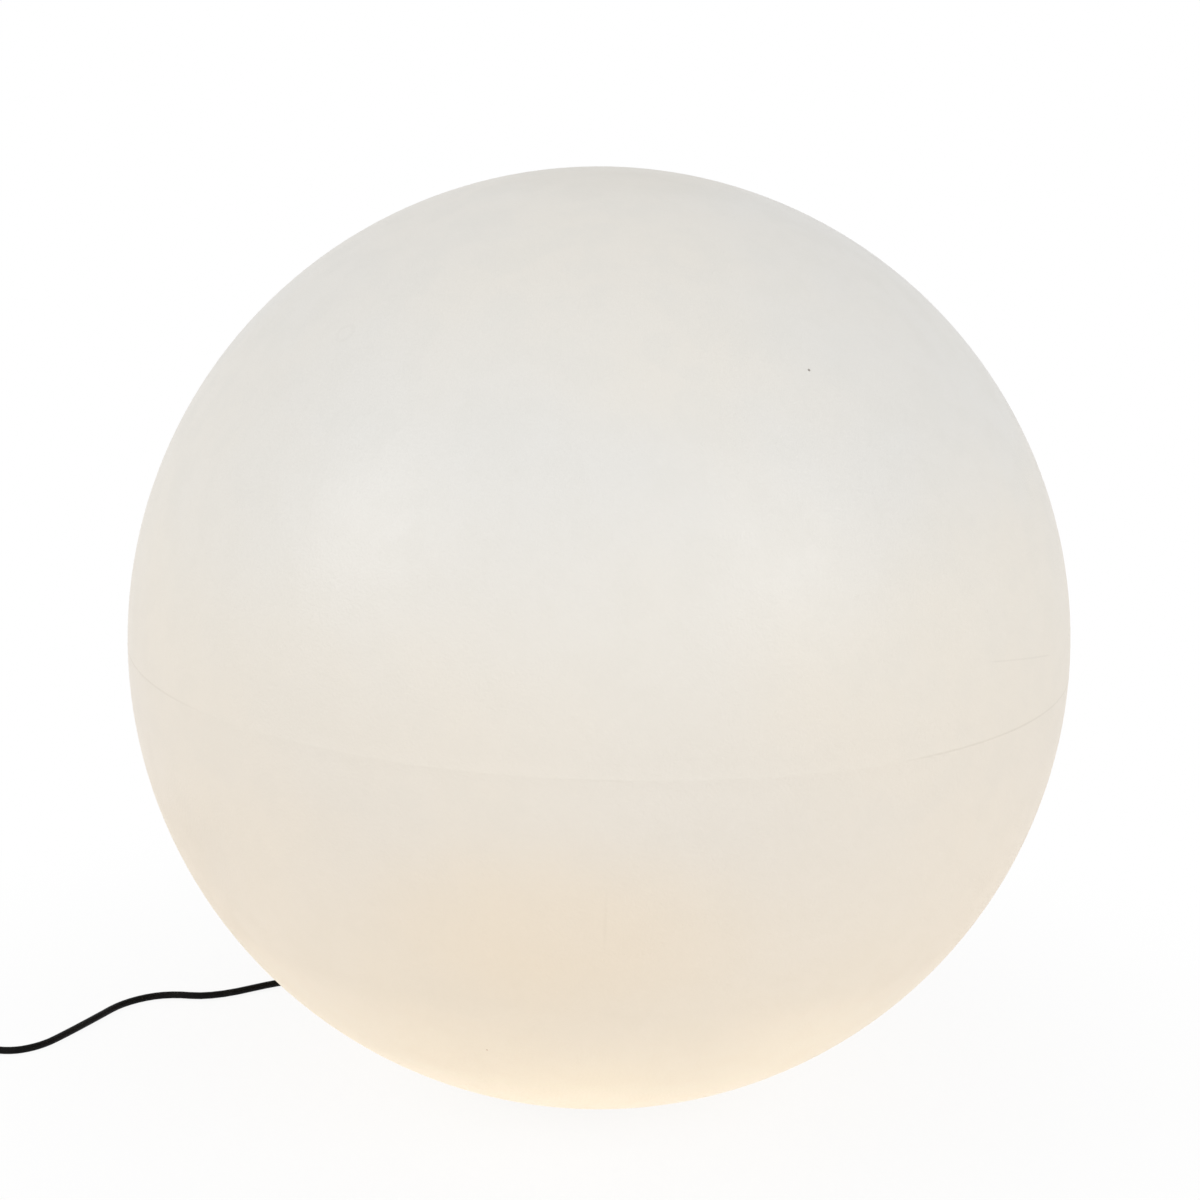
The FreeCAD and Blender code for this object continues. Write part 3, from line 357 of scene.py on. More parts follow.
def layCord():
    # one curve through the route, the coil and the tail
    total = int(sum(coil["layerTurns"]) * coil["perTurn"])
    turns = [coilSpot((step + 0.5) / coil["perTurn"]) for step in range(total)]
    route = cordLine["route"] + turns + cordLine["tail"]
    curve = bpy.data.curves.new("mains_cord", "CURVE")
    curve.dimensions = "3D"
    spline = curve.splines.new("NURBS")
    spline.points.add(len(route) - 1)
    for point, spot in zip(spline.points, route):
        point.co = (*spot, 1)
    spline.order_u = 3
    spline.use_endpoint_u = True
    spline.resolution_u = 5
    curve.bevel_depth = cordLine["diameter"] / 2
    curve.bevel_resolution = 5
    curve.use_fill_caps = True
    cord = bpy.data.objects.new("mains_cord", curve)
    bpy.context.collection.objects.link(cord)
    curve.materials.append(sheathRubber)
    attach(cord, "base")
    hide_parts("cord_run", "cord_coil", "cord_tail")
    return cord


def sheathVarying(place):
    dust = place.noise(60, 4).between(0.45, 0.75)
    return {
        "Base Color": dust.blend((0.0025, 0.0025, 0.0027), (0.0075, 0.0073, 0.007)),
        "Roughness": 0.42 + dust * 0.16,
        "Normal": (place.noise(900, 2) + 0.5 * place.noise(140, 2)).relief(0.00006),
    }


sheathRubber = newFinish("sheathRubber", {"IOR": 1.5, "Specular IOR Level": 0.08}, sheathVarying)


def mattRubberVarying(place):
    dust = place.noise(45, 4).between(0.42, 0.72)
    return {
        "Base Color": (dust * 0.7).blend((0.012, 0.012, 0.0125), (0.034, 0.032, 0.029)),
        "Roughness": 0.68 + dust * 0.2,
        "Normal": (place.noise(1500, 2) + 0.5 * place.cells(900)).relief(0.00009),
    }


def baseMouldingVarying(place):
    # spark-eroded grain, a little dust and the light scuffs of being carried
    grain = place.cells(1300) + 0.5 * place.noise(2400, 2)
    dust = place.noise(26, 5).between(0.45, 0.7)
    scuff = place.stretched((30, 400, 400), (0.3, 0.2, 0.7)).noise(1, 2).between(0.68, 0.75)
    skin = (dust * 0.5).blend((0.013, 0.013, 0.0135), (0.027, 0.026, 0.024))
    return {
        "Base Color": (scuff * 0.35).blend(skin, (0.075, 0.073, 0.07)),
        "Roughness": 0.5 + dust * 0.18 - scuff * 0.12,
        "Normal": grain.relief(0.00008),
    }


def glandNylonVarying(place):
    flow = place.stretched((1, 1, 0.3)).noise(90, 3)
    return {
        "Base Color": flow.between(0.35, 0.7).blend((0.016, 0.016, 0.017), (0.028, 0.028, 0.028)),
        "Roughness": 0.36 + flow * 0.18,
        "Normal": (place.noise(1700, 2) + 0.4 * flow).relief(0.00004),
    }


def zincSteelVarying(place):
    # zinc plate: faint yellow bloom, rubbed streaks and a few dull spots
    bloom = place.noise(55, 4).between(0.38, 0.66)
    streaks = place.stretched((60, 60, 1400)).noise(1, 2)
    dull = place.cells(160).between(0.05, 0.3)
    skin = bloom.blend((0.60, 0.61, 0.61), (0.63, 0.59, 0.48))
    return {
        "Base Color": ((1 - dull) * 0.4).blend(skin, (0.44, 0.44, 0.43)),
        "Roughness": 0.26 + 0.14 * bloom + 0.1 * streaks,
        "Normal": (streaks + 0.5 * place.noise(900, 2)).relief(0.00003),
    }


def brassVarying(place):
    tarnish = place.noise(120, 4).between(0.42, 0.72)
    lines = place.stretched((20, 20, 2600)).noise(1, 1)
    return {
        "Base Color": (tarnish * 0.6).blend((0.80, 0.60, 0.28), (0.50, 0.34, 0.15)),
        "Roughness": 0.2 + 0.22 * tarnish + 0.08 * lines,
        "Normal": (lines + 0.4 * place.noise(1200, 2)).relief(0.00002),
    }


def nickelVarying(place):
    rub = place.stretched((500, 500, 60), (1.57, 0, 2.784)).noise(1, 3)
    return {
        "Base Color": rub.between(0.3, 0.7).blend((0.70, 0.68, 0.64), (0.60, 0.57, 0.52)),
        "Roughness": 0.16 + 0.2 * rub,
        "Normal": rub.relief(0.00002),
    }


def thermosetVarying(place):
    flow = place.noise(42, 4)
    return {
        "Base Color": flow.between(0.3, 0.7).blend((0.012, 0.011, 0.011), (0.026, 0.024, 0.022)),
        "Roughness": 0.22 + 0.2 * flow,
        "Normal": (flow + 0.3 * place.noise(900, 2)).relief(0.00005),
    }


def ceramicVarying(place):
    glaze = place.noise(60, 3)
    pinholes = 1 - place.cells(420).between(0.02, 0.09)
    skin = glaze.between(0.3, 0.7).blend((0.78, 0.75, 0.66), (0.70, 0.66, 0.56))
    return {
        "Base Color": (pinholes * 0.5).blend(skin, (0.35, 0.30, 0.22)),
        "Roughness": 0.2 + 0.15 * glaze,
        "Normal": (glaze - 0.4 * pinholes).relief(0.00006),
    }


def aluminiumVarying(place):
    # spun lines round the bulb's cap, and the grey of handling
    lines = place.stretched((12, 12, 3200)).noise(1, 2)
    grey = place.noise(150, 4).between(0.45, 0.7)
    return {
        "Base Color": (grey * 0.5).blend((0.76, 0.76, 0.75), (0.58, 0.57, 0.55)),
        "Roughness": 0.24 + 0.14 * lines + 0.14 * grey,
        "Normal": lines.relief(0.00002),
    }


def capGlassVarying(place):
    swirl = place.noise(210, 4)
    return {
        "Base Color": swirl.between(0.3, 0.7).blend((0.008, 0.008, 0.012), (0.03, 0.03, 0.04)),
        "Roughness": 0.08 + 0.14 * swirl,
        "Normal": swirl.relief(0.00005),
    }


def lampHousingVarying(place):
    haze = place.noise(38, 4)
    return {
        "Base Color": haze.between(0.35, 0.7).blend((0.84, 0.84, 0.82), (0.78, 0.78, 0.75)),
        "Roughness": 0.3 + 0.16 * haze,
        "Normal": (place.noise(1300, 2) + 0.5 * haze).relief(0.00004),
    }


def opalVarying(place):
    # brightest over the ring of chips, softer towards the top of the bulb
    height = place.axis("Z").between(0.238, 0.281)
    haze = place.noise(70, 3)
    return {
        "Base Color": haze.between(0.3, 0.7).blend((0.90, 0.86, 0.78), (0.87, 0.83, 0.74)),
        "Roughness": 0.3 + 0.15 * haze,
        "Emission Color": height.blend((0.95, 0.78, 0.50), (0.80, 0.62, 0.38)),
        "Normal": place.noise(900, 2).relief(0.00003),
    }


def boardLacquerVarying(place):
    tracks = place.away((0, 0, 0.238)) * 900
    tracks = tracks.maths("SINE", tracks).between(0.86, 0.98)
    return {
        "Base Color": (tracks * 0.5).blend((0.83, 0.83, 0.81), (0.66, 0.66, 0.62)),
        "Roughness": 0.34 + 0.2 * place.noise(180, 3),
        "Normal": tracks.relief(0.00004),
    }


def phosphorVarying(place):
    grains = place.cells(3500)
    return {
        "Base Color": grains.between(0.1, 0.6).blend((0.86, 0.66, 0.12), (0.93, 0.78, 0.26)),
        "Roughness": 0.3 + 0.3 * grains,
        "Normal": grains.relief(0.00005),
    }


def boardGreenVarying(place):
    tracks = place.stretched((420, 420, 60)).noise(1, 1).between(0.52, 0.56)
    return {
        "Base Color": tracks.blend((0.02, 0.13, 0.05), (0.04, 0.22, 0.09)),
        "Roughness": 0.3 + 0.2 * place.noise(300, 3),
        "Normal": tracks.relief(0.00006),
    }


def leadVarying(dark, light):
    # the varying sockets of a core's soft insulation, between two shades
    def varying(place):
        smear = place.noise(260, 3)
        return {
            "Base Color": smear.between(0.35, 0.7).blend(dark, light),
            "Roughness": 0.34 + 0.2 * smear,
            "Normal": place.noise(1900, 2).relief(0.00003),
        }
    return varying


def strapVarying(place):
    # woven ribs across the band and the fuzz of its loops
    across = place.stretched((1, 1, 1), (0, 0, -math.radians(coil["tieAngle"]))).axis("Y") * 7200
    ribs = across.maths("SINE", across)
    fuzz = place.noise(3200, 3)
    return {
        "Base Color": fuzz.between(0.4, 0.7).blend((0.011, 0.011, 0.012), (0.045, 0.045, 0.047)),
        "Roughness": 0.82 + 0.12 * fuzz,
        "Normal": (0.5 * ribs + 1.4 * fuzz).relief(0.00022),
    }


glossy = {"IOR": 1.5, "Specular IOR Level": 0.5}
metal = {"Metallic": 1.0}
mattRubber = newFinish("mattRubber", {"IOR": 1.5, "Specular IOR Level": 0.3}, mattRubberVarying)
baseMoulding = newFinish("baseMoulding", {"IOR": 1.49, "Specular IOR Level": 0.4}, baseMouldingVarying)
glandNylon = newFinish("glandNylon", glossy, glandNylonVarying)
zincSteel = newFinish("zincSteel", metal, zincSteelVarying)
brightBrass = newFinish("brightBrass", metal, brassVarying)
nickelPlate = newFinish("nickelPlate", metal, nickelVarying)
blackThermoset = newFinish("blackThermoset", glossy, thermosetVarying)
glazedCeramic = newFinish("glazedCeramic", {**glossy, "Coat Weight": 0.5, "Coat Roughness": 0.08},
                          ceramicVarying)
spunAluminium = newFinish("spunAluminium", metal, aluminiumVarying)
capGlass = newFinish("capGlass", {**glossy, "Coat Weight": 0.4, "Coat Roughness": 0.05}, capGlassVarying)
whiteHousing = newFinish("whiteHousing", glossy, lampHousingVarying)
opalPlastic = newFinish("opalPlastic", {**glossy, "Emission Strength": 1.0}, opalVarying)
boardLacquer = newFinish("boardLacquer", glossy, boardLacquerVarying)
phosphor = newFinish("phosphor", glossy, phosphorVarying)
greenBoard = newFinish("greenBoard", glossy, boardGreenVarying)
brownCore = newFinish("brownCore", glossy, leadVarying((0.09, 0.035, 0.014), (0.15, 0.065, 0.03)))
blueCore = newFinish("blueCore", glossy, leadVarying((0.02, 0.07, 0.26), (0.04, 0.12, 0.38)))
strapWeave = newFinish("strapWeave", {"Specular IOR Level": 0.2}, strapVarying)
print("finishes mixed")

# The bulb low inside the globe lights its moulded polyethylene; that light is painted on the shell as
# emission, strongest at the bottom.
glow = {
    "bottom": 0.0, "top": 0.79, "drift": 0.035, "ripple": 0.012,
    "stops": [  # smoothed height from bottom to top, light given off
        (0.0, (0.338, 0.258, 0.15)), (0.044, (0.224, 0.149, 0.06)), (0.145, (0.138, 0.075, 0.008)),
        (0.41, (0.058, 0.028, 0.002)), (0.677, (0.033, 0.02, 0.006)), (0.876, (0.0, 0.0, 0.0)),
    ],
    "brightSpotLight": (0.031, 0.026, 0.015), "brightSpots": [(0.0131, -0.2636, 0.0877), (0.1625, -0.2494, 0.121)],
    "brightSpotReach": (0.01, 0.11),
}
# Besides the plastic's own tones, this holds painted light and shade: the bulb's light over the lower half, a
# patch of it low on the front, and shade at the very top.
skinTonesAndPaintedLight = {  # each tone of the plastic with its share, and the span over which it comes or goes
    "pale": (0.822, 0.792, 0.734),
    "cool": (0.804, 0.789, 0.753), "coolCloud": (0.35, 0.65),
    "mottled": (0.775, 0.76, 0.716), "mottledSpan": (0.42, 0.64), "mottledShare": 0.3,
    "bulbWarmth": (0.82, 0.765, 0.66), "bulbWarmthHeights": (0.4, 0.62), "bulbWarmthShare": 0.32,
    "topShade": (0.72, 0.68, 0.60), "topShadeHeights": (0.765, 0.79), "topShadeShare": 0.4,
    "bulbLightPatch": (0.845, 0.757, 0.63), "bulbLightPatchSpot": (-0.0209, -0.3793, 0.2628), "bulbLightPatchReach": (0.02, 0.1),
    "bulbLightPatchShare": 0.4,
}
wear = {  # small marks of use: where each is, where it starts and ends to fade, and its share
    "colour": (0.2, 0.17, 0.14),
    "specks": [  # place, radius
        ((0.1477, -0.251, 0.6624), 0.0014), ((-0.0754, -0.3004, 0.135), 0.0009),
        ((0.3853, -0.0989, 0.4299), 0.0013), ((-0.31, 0.17, 0.55), 0.0014), ((0.12, 0.36, 0.27), 0.0016),
    ],
    "speckCore": 0.55, "speckShare": 0.8,
    "ring": (-0.1997, -0.2002, 0.6711), "ringRadius": 0.0075, "ringFade": (0.0003, 0.003), "ringShare": 0.03,
    "streak": (0.0114, -0.382, 0.2764), "streakLength": 0.074, "streakCore": 0.0004, "streakWidth": 0.0022,
    "streakShare": 0.035,
    "scratchHeight": 0.40083, "scratchSlope": 0.1802, "scratchFade": (0.0002, 0.0011),
    "scratchMiddle": -0.21985, "scratchReach": (0.036, 0.046), "scratchSide": (0.2, 0.25),
    "scratchShare": 0.06,
}
parting = {
    "height": 0.3882, "half": 0.0009, "rise": 0.00012,  # the ridge
    "drawnFade": (0.0002, 0.0013), "stretchScale": 4.2, "stretches": (0.46, 0.66),
    # the colour and share of the painted shade along the ridge
    "sides": (0.29, 0.35), "sideShare": 0.8, "colour": (0.55, 0.51, 0.44), "share": 0.3,
}


def partingShadeShare(place):
    # the mould's parting ridge is real; its darker line is painted shade, which shows in stretches and at
    # both sides, and fades between them
    line = 1 - abs(place.axis("Z") - parting["height"]).between(*parting["drawnFade"])
    stretches = place.stretched((1, 1, 0)).noise(parting["stretchScale"], 2).between(*parting["stretches"])
    sides = abs(place.axis("X")).between(*parting["sides"])
    return line * stretches.maths("MAXIMUM", stretches, sides * parting["sideShare"])


def wearShare(place):
    # how strongly the streak, scratch, ring and specks show at a place
    squeeze = wear["streakWidth"] / wear["streakLength"] * 2
    x, y, z = wear["streak"]
    streak = place.stretched((1, squeeze, squeeze)).away((x, y * squeeze, z * squeeze))
    marks = (1 - streak.between(wear["streakCore"], wear["streakWidth"])) * wear["streakShare"]
    scratch = abs(place.axis("Z") + wear["scratchSlope"] * place.axis("Y") - wear["scratchHeight"])
    beyond = abs(place.axis("Y") - wear["scratchMiddle"]).between(*wear["scratchReach"])
    side = place.axis("X").between(*wear["scratchSide"])
    marks += (1 - scratch.between(*wear["scratchFade"])) * (1 - beyond) * side * wear["scratchShare"]
    ring = abs(place.away(wear["ring"]) - wear["ringRadius"])
    marks += (1 - ring.between(*wear["ringFade"])) * wear["ringShare"]
    for spot, radius in wear["specks"]:
        marks += (1 - place.away(spot).between(radius * wear["speckCore"], radius)) * wear["speckShare"]
    return marks


def polyethyleneVarying(place):
    height = place.axis("Z")
    cloud = place.noise(3.6, 3)
    mottle = place.noise(34, 4)
    tonesAndLight = skinTonesAndPaintedLight
    skin = cloud.between(*tonesAndLight["coolCloud"]).blend(tonesAndLight["pale"], tonesAndLight["cool"])
    skin = (mottle.between(*tonesAndLight["mottledSpan"]) * tonesAndLight["mottledShare"]).blend(skin, tonesAndLight["mottled"])
    # painted light: the lower part of the globe takes the colour of the bulb's light
    skin = ((1 - height.between(*tonesAndLight["bulbWarmthHeights"])) * tonesAndLight["bulbWarmthShare"]).blend(skin, tonesAndLight["bulbWarmth"])
    # painted shade: the very top of the globe is drawn darker
    skin = (height.between(*tonesAndLight["topShadeHeights"]) * tonesAndLight["topShadeShare"]).blend(skin, tonesAndLight["topShade"])
    # painted light: an orange, slightly darker patch of the bulb's light low on the front
    x, y, z = tonesAndLight["bulbLightPatchSpot"]  # a patch twice as wide as it is high
    bulbLightPatch = 1 - place.stretched((0.5, 0.5, 1)).away((x / 2, y / 2, z)).between(*tonesAndLight["bulbLightPatchReach"])
    skin = (bulbLightPatch * tonesAndLight["bulbLightPatchShare"]).blend(skin, tonesAndLight["bulbLightPatch"])
    # painted shade along the parting ridge
    skin = (partingShadeShare(place) * parting["share"]).blend(skin, parting["colour"])
    skin = wearShare(place).blend(skin, wear["colour"])
    # painted light: the bulb's glow on the shell, given off as emission by height
    drifted = height + glow["drift"] * (cloud - 0.5) + glow["ripple"] * (place.noise(11, 2) - 0.5)
    light = drifted.between(glow["bottom"], glow["top"]).ramp(glow["stops"])
    # painted light: two brighter spots of the bulb's glow low on the front of the shell
    for spot in glow["brightSpots"]:
        brightSpotLight = 1 - place.away(spot).between(*glow["brightSpotReach"])
        light = light.sum(brightSpotLight.blend((0, 0, 0), glow["brightSpotLight"]))
    return {
        "Base Color": skin,
        "Roughness": 0.34 + 0.14 * mottle,
        "Emission Color": light,
        "Normal": (place.noise(420, 2) + 0.6 * place.noise(130, 3)).relief(0.00028),
    }


polyethylene = newFinish("polyethylene", {"IOR": 1.5, "Specular IOR Level": 0.38, "Emission Strength": 1.0},
                         polyethyleneVarying)

globe = {
    "radius": 0.4, "centre": (0, 0, 0.3882), "wall": 0.004, "seat": 0.0135, "seatRadius": 0.14,
    "mouthRadius": 0.075, "segments": 192, "rings": 96,
    "bossCircle": 0.09, "bossAngles": (60, 180, 300),  # degrees
    "holeRadius": 0.00602, "holeLow": 0.01, "holeHigh": 0.02,
    "boss": [  # from the hole's rim over its outside to the blind end of the hole
        (0.00602, 0.0145), (0.0145, 0.0155), (0.0125, 0.0195), (0.01, 0.0245), (0.0098, 0.0325),
        (0.0088, 0.0335), (0, 0.0335), (0, 0.03002), (0.00602, 0.03002), (0.00602, 0.0145),
    ],
}


def makeGlobe():
    # a sphere, flattened at the bottom into a seat round its mouth
    shell = startPiece("uv_sphere", segments=globe["segments"], ring_count=globe["rings"],
                       radius=globe["radius"], location=globe["centre"])
    seatLevel = (0, 0, globe["seat"])
    bpy.ops.mesh.bisect(plane_co=seatLevel, plane_no=(0, 0, 1), clear_inner=True)
    shrink = globe["mouthRadius"] / globe["seatRadius"]
    pick("EDGE", lambda middle, edge: middle.z < globe["seat"] + near)
    bpy.ops.mesh.extrude_edges_move()
    bpy.ops.transform.resize(value=(shrink, shrink, 1), center_override=seatLevel)
    # a low ridge where the two halves of the mould met
    for side in (-1, 1):
        bpy.ops.mesh.select_all(action="SELECT")
        bpy.ops.mesh.bisect(plane_co=(0, 0, parting["height"] + side * parting["half"]), plane_no=(0, 0, 1))
    pick("VERT", lambda middle, vert: abs(middle.z - parting["height"]) < near)
    grow = 1 + parting["rise"] / globe["radius"]
    bpy.ops.transform.resize(value=(grow, grow, 1), center_override=globe["centre"])
    modify(shell, "SOLIDIFY", thickness=globe["wall"], offset=-1, use_even_offset=True)
    # known fault: the cut after a boss is joined drops that boss in some runs
    for angle in globe["bossAngles"]:
        spot = around(globe["bossCircle"], angle)
        combine(shell, rod(globe["holeRadius"], globe["holeLow"], globe["holeHigh"], spot), "DIFFERENCE")
        joined(shell, turned(globe["boss"], spot, steps=48))
    return settle(shell, "globe", "globe", polyethylene,
                  ["globe_upper", "globe_lower"])


strap = {
    "inner": 0.02305, "outer": 0.05915, "low": 0.00015, "high": 0.03015,  # outside, from the coil's centre
    "width": 0.012, "thickness": 0.001, "corner": 0.0052, "round": (0.0003, 2),
    "tailStart": 0.0285, "tailEnd": 0.0535, "tailRise": 0.0009, "tailSunk": 0.0002, "tailInset": 0.0003,
    "tailCorner": 0.004,
}


def makeStrap():
    # a flat band round the bundle of turns, its end pressed down on itself
    half = strap["width"] / 2
    band = block((strap["inner"], -half, strap["low"]), (strap["outer"], half, strap["high"]))
    pick("FACE", lambda middle, face: abs(face.normal.y) > 0.9)
    bpy.ops.mesh.delete(type="ONLY_FACE")
    pick("EDGE", lambda middle, edge: abs(edge.verts[0].co.y - edge.verts[1].co.y) > half)
    bpy.ops.mesh.bevel(offset=strap["corner"], segments=6, affect="EDGES")
    closeUp()
    modify(band, "SOLIDIFY", thickness=strap["thickness"], offset=-1, use_even_offset=True)
    tailHalf = half - strap["tailInset"]
    tail = block((strap["tailStart"], -tailHalf, strap["high"] - strap["tailSunk"]),
                 (strap["tailEnd"], tailHalf, strap["high"] + strap["tailRise"]))
    pick("EDGE", lambda middle, edge: middle.x < strap["tailStart"] + near
         and abs(edge.verts[0].co.z - edge.verts[1].co.z) > near)
    bpy.ops.mesh.bevel(offset=strap["tailCorner"], segments=5, affect="EDGES")
    joined(band, tail)
    roundEdges(band, *strap["round"])
    laid(band, (*coil["centre"], 0), (0, 0, coil["tieAngle"]))
    return settle(band, "coil_strap", "base", strapWeave, ["coil_tie"])


plugBoot = {
    "low": 0, "shoulder": 0.03, "tip": 0.0044, "root": 0.007,
    "rings": 5, "ringParts": (0.35, 0.45, 0.85, 0.95), "depth": 0.0007, "round": (0.00025, 2, 25),
}
plug = {
    "spot": (-0.6576, 0.2305, 0.016), "heading": 69.53,
    "sides": [
        (0, 0.03), (0.0085, 0.03), (0.0095, 0.0307), (0.0103, 0.0325), (0.0112, 0.0355), (0.0121, 0.0385),
        (0.0131, 0.042), (0.0138, 0.0455), (0.0146, 0.0486), (0.0158, 0.0504), (0.0174, 0.0521),
        (0.018, 0.0535), (0.018, 0.063), (0.017, 0.064), (0, 0.064),
    ],
    "flat": 0.016, "flatReach": 0.03, "flatHigh": 0.08, "round": (0.0006, 3, 30),
    "notchRadius": 0.0036, "notchFrom": 0.053, "notchTo": 0.07, "notchSide": 0.0175,
    "pinSide": 0.0095,
    "pin": [
        (0, 0.0636), (0.0024, 0.0636), (0.0024, 0.0815), (0.0022, 0.0821), (0.0018, 0.0827), (0.0012, 0.083),
        (0, 0.083),
    ],
}


def layPlug(piece):
    # modelled with its cord end at the origin and its pins upwards
    return laid(piece, plug["spot"], (90, 0, plug["heading"] + 90))


def makePlug():
    # a moulded two-pin plug with contact grooves above and below, and its ringed boot
    root, shoulder = plugBoot["root"], plugBoot["shoulder"]
    boot = turned([(0, 0), (plugBoot["tip"], 0), *grooved(plugBoot), (root, shoulder), (0, shoulder)],
                  steps=64)
    roundEdges(boot, *plugBoot["round"])
    boot = settle(layPlug(boot), "plug_sleeve", "base", sheathRubber, ["plug_boot"])

    body = turned(plug["sides"], steps=128)
    reach, flat = plug["flatReach"], plug["flat"]
    combine(body, block((-reach, -flat, 0), (reach, flat, plug["flatHigh"])), "INTERSECT")
    for side in (-1, 1):
        spot = (0, side * plug["notchSide"])
        combine(body, rod(plug["notchRadius"], plug["notchFrom"], plug["notchTo"], spot), "DIFFERENCE")
    roundEdges(body, *plug["round"])
    body = settle(layPlug(body), "plug_moulding", "base", sheathRubber, ["plug_body"])

    pins = [turned(plug["pin"], (side * plug["pinSide"], 0), steps=48) for side in (-1, 1)]
    pair = settle(layPlug(joined(*pins)), "plug_contacts", "base", nickelPlate, ["plug_pins"])
    return [boot, body, pair]


relief = {
    "bore": 0.00325, "tip": 0.0042, "root": 0.0064, "low": 0.056, "shoulder": 0.079, "top": 0.083,
    "lip": 0.0003, "lipHeight": 0.0004,
    "rings": 4, "ringParts": (0.3, 0.4, 0.75, 0.85), "depth": 0.0006, "round": (0.0002, 2, 25),
}


def makeCordBoot():
    # tapered sleeve where the cord leaves the gland, grooved so that it bends evenly
    bore, tip, root = relief["bore"], relief["tip"], relief["root"]
    low, top = relief["low"], relief["top"]
    sleeve = turned([
        (bore, low), (tip - relief["lip"], low), (tip, low + relief["lipHeight"]), *grooved(relief),
        (root, relief["shoulder"]), (root, top), (bore, top), (bore, low),
    ], steps=64)
    roundEdges(sleeve, *relief["round"])
    return settle(sleeve, "cord_relief", "base", mattRubber, ["cord_boot"])


foot = {
    "circle": 0.088, "angles": (30, 90, 150, 210, 270, 330),
    "line": [  # screw hole, recess for its head, ringed sole and side
        (0.0016, 0.005), (0.0016, 0.0035), (0.00375, 0.0035), (0.00375, 0.0), (0.0052, 0.0), (0.0054, 0.0004),
        (0.0059, 0.0004), (0.0061, 0.0), (0.0074, 0.0), (0.0076, 0.0004), (0.0081, 0.0004), (0.0083, 0.0),
        (0.0092, 0.0), (0.01, 0.0008), (0.01, 0.005), (0.0016, 0.005),
    ],
    "round": (0.00025, 2),
}


def makeFeet():
    pattern = turned(foot["line"], steps=64)
    roundEdges(pattern, *foot["round"])
    for number, angle in enumerate(foot["angles"], start=1):
        sole = copied(pattern, (*around(foot["circle"], angle), 0))
        settle(sole, f"rubber_foot_{number}", "base", mattRubber, [f"foot_{number}"])
    bpy.data.objects.remove(pattern)


thumb = {
    "circle": 0.09, "angles": (60, 180, 300), "hole": 0.00408,
    "knob": [
        (0, 0.002), (0.0106, 0.002), (0.0115, 0.0024), (0.012, 0.0033), (0.012, 0.0077), (0.0116, 0.0085),
        (0.011, 0.0089), (0.004, 0.0089), (0.004, 0.004), (0, 0.004),
    ],
    "scallops": 8, "scallopCircle": 0.0136, "scallopRadius": 0.0032, "scallopHigh": 0.012,
    "slotFrom": (-0.013, -0.0009, -0.001), "slotTo": (0.013, 0.0009, 0.0032), "round": (0.0004, 2, 32),
    "shank": [
        (0, 0.004), (0.004, 0.004), (0.004, 0.0132), (0.0034, 0.0138), (0.0034, 0.0256), (0.003, 0.0266),
        (0.0024, 0.027), (0, 0.027),
    ],
    "thread": {"low": 0.0132, "high": 0.0258, "root": 0.00335, "crest": 0.004, "pitch": 0.00125},
}


def threaded(low, high, root, crest, pitch, steps=48):
    # a rolled thread: one rounded ridge wound up from low to high, closed at its root and ends
    corners = 8
    gap = 0.04  # of the pitch, on each side of the ridge, so that its turns stay apart
    line = []
    for corner in range(corners + 1):
        share = corner / corners
        radius = root + (crest - root) * (1 - math.cos(math.tau * share)) / 2
        line.append((radius, low + pitch * (gap + (1 - 2 * gap) * share)))
    thread = drawn(line + line[:1])
    turns = round((high - low) / pitch) - 1
    modify(rooted(thread), "SCREW", axis="Z", angle=math.tau, screw_offset=pitch, iterations=turns,
           steps=steps, render_steps=steps)
    bpy.ops.object.mode_set(mode="EDIT")
    closeUp()
    bpy.ops.mesh.fill_holes(sides=0)
    closeUp()
    return thread


def makeThumbScrews():
    # a scalloped, slotted knob and a threaded shank, each copied to three places
    pattern = turned(thumb["knob"], steps=96)
    for step in range(thumb["scallops"]):
        spot = around(thumb["scallopCircle"], 360 * step / thumb["scallops"])
        combine(pattern, rod(thumb["scallopRadius"], 0, thumb["scallopHigh"], spot, steps=32), "DIFFERENCE")
    combine(pattern, block(thumb["slotFrom"], thumb["slotTo"]), "DIFFERENCE")
    roundEdges(pattern, *thumb["round"])

    shank = turned(thumb["shank"], steps=48)
    joined(shank, threaded(**thumb["thread"]))
    for number, angle in enumerate(thumb["angles"], start=1):
        spot = (*around(thumb["circle"], angle), 0)
        body = f"thumb_screw_{number}"
        settle(copied(pattern, spot), f"knob_{number}", body, baseMoulding,
               [f"thumb_knob_{number}"])
        settle(copied(shank, spot), f"shank_{number}", body, zincSteel, [f"thumb_shank_{number}"])
    bpy.data.objects.remove(pattern)
    bpy.data.objects.remove(shank)


plate = {
    "line": [
        (0.057, 0.009), (0.102, 0.009), (0.102, 0.002), (0.105, 0.002), (0.105, 0.011), (0.104, 0.012),
        (0.057, 0.012), (0.057, 0.009),
    ],
    "ribAngles": (0, 105, 135, 240), "ribFrom": (0.0575, -0.00125, 0.004), "ribTo": (0.1025, 0.00125, 0.0095),
    "bossRadius": 0.01, "bossLow": 0.005, "bossHigh": 0.0095, "holeLow": 0.004, "holeHigh": 0.014,
    "notchAngle": 122, "notchFrom": (0.099, -0.007, -0.001), "notchTo": (0.108, 0.007, 0.009),
    "round": (0.0004, 2, 40),
}


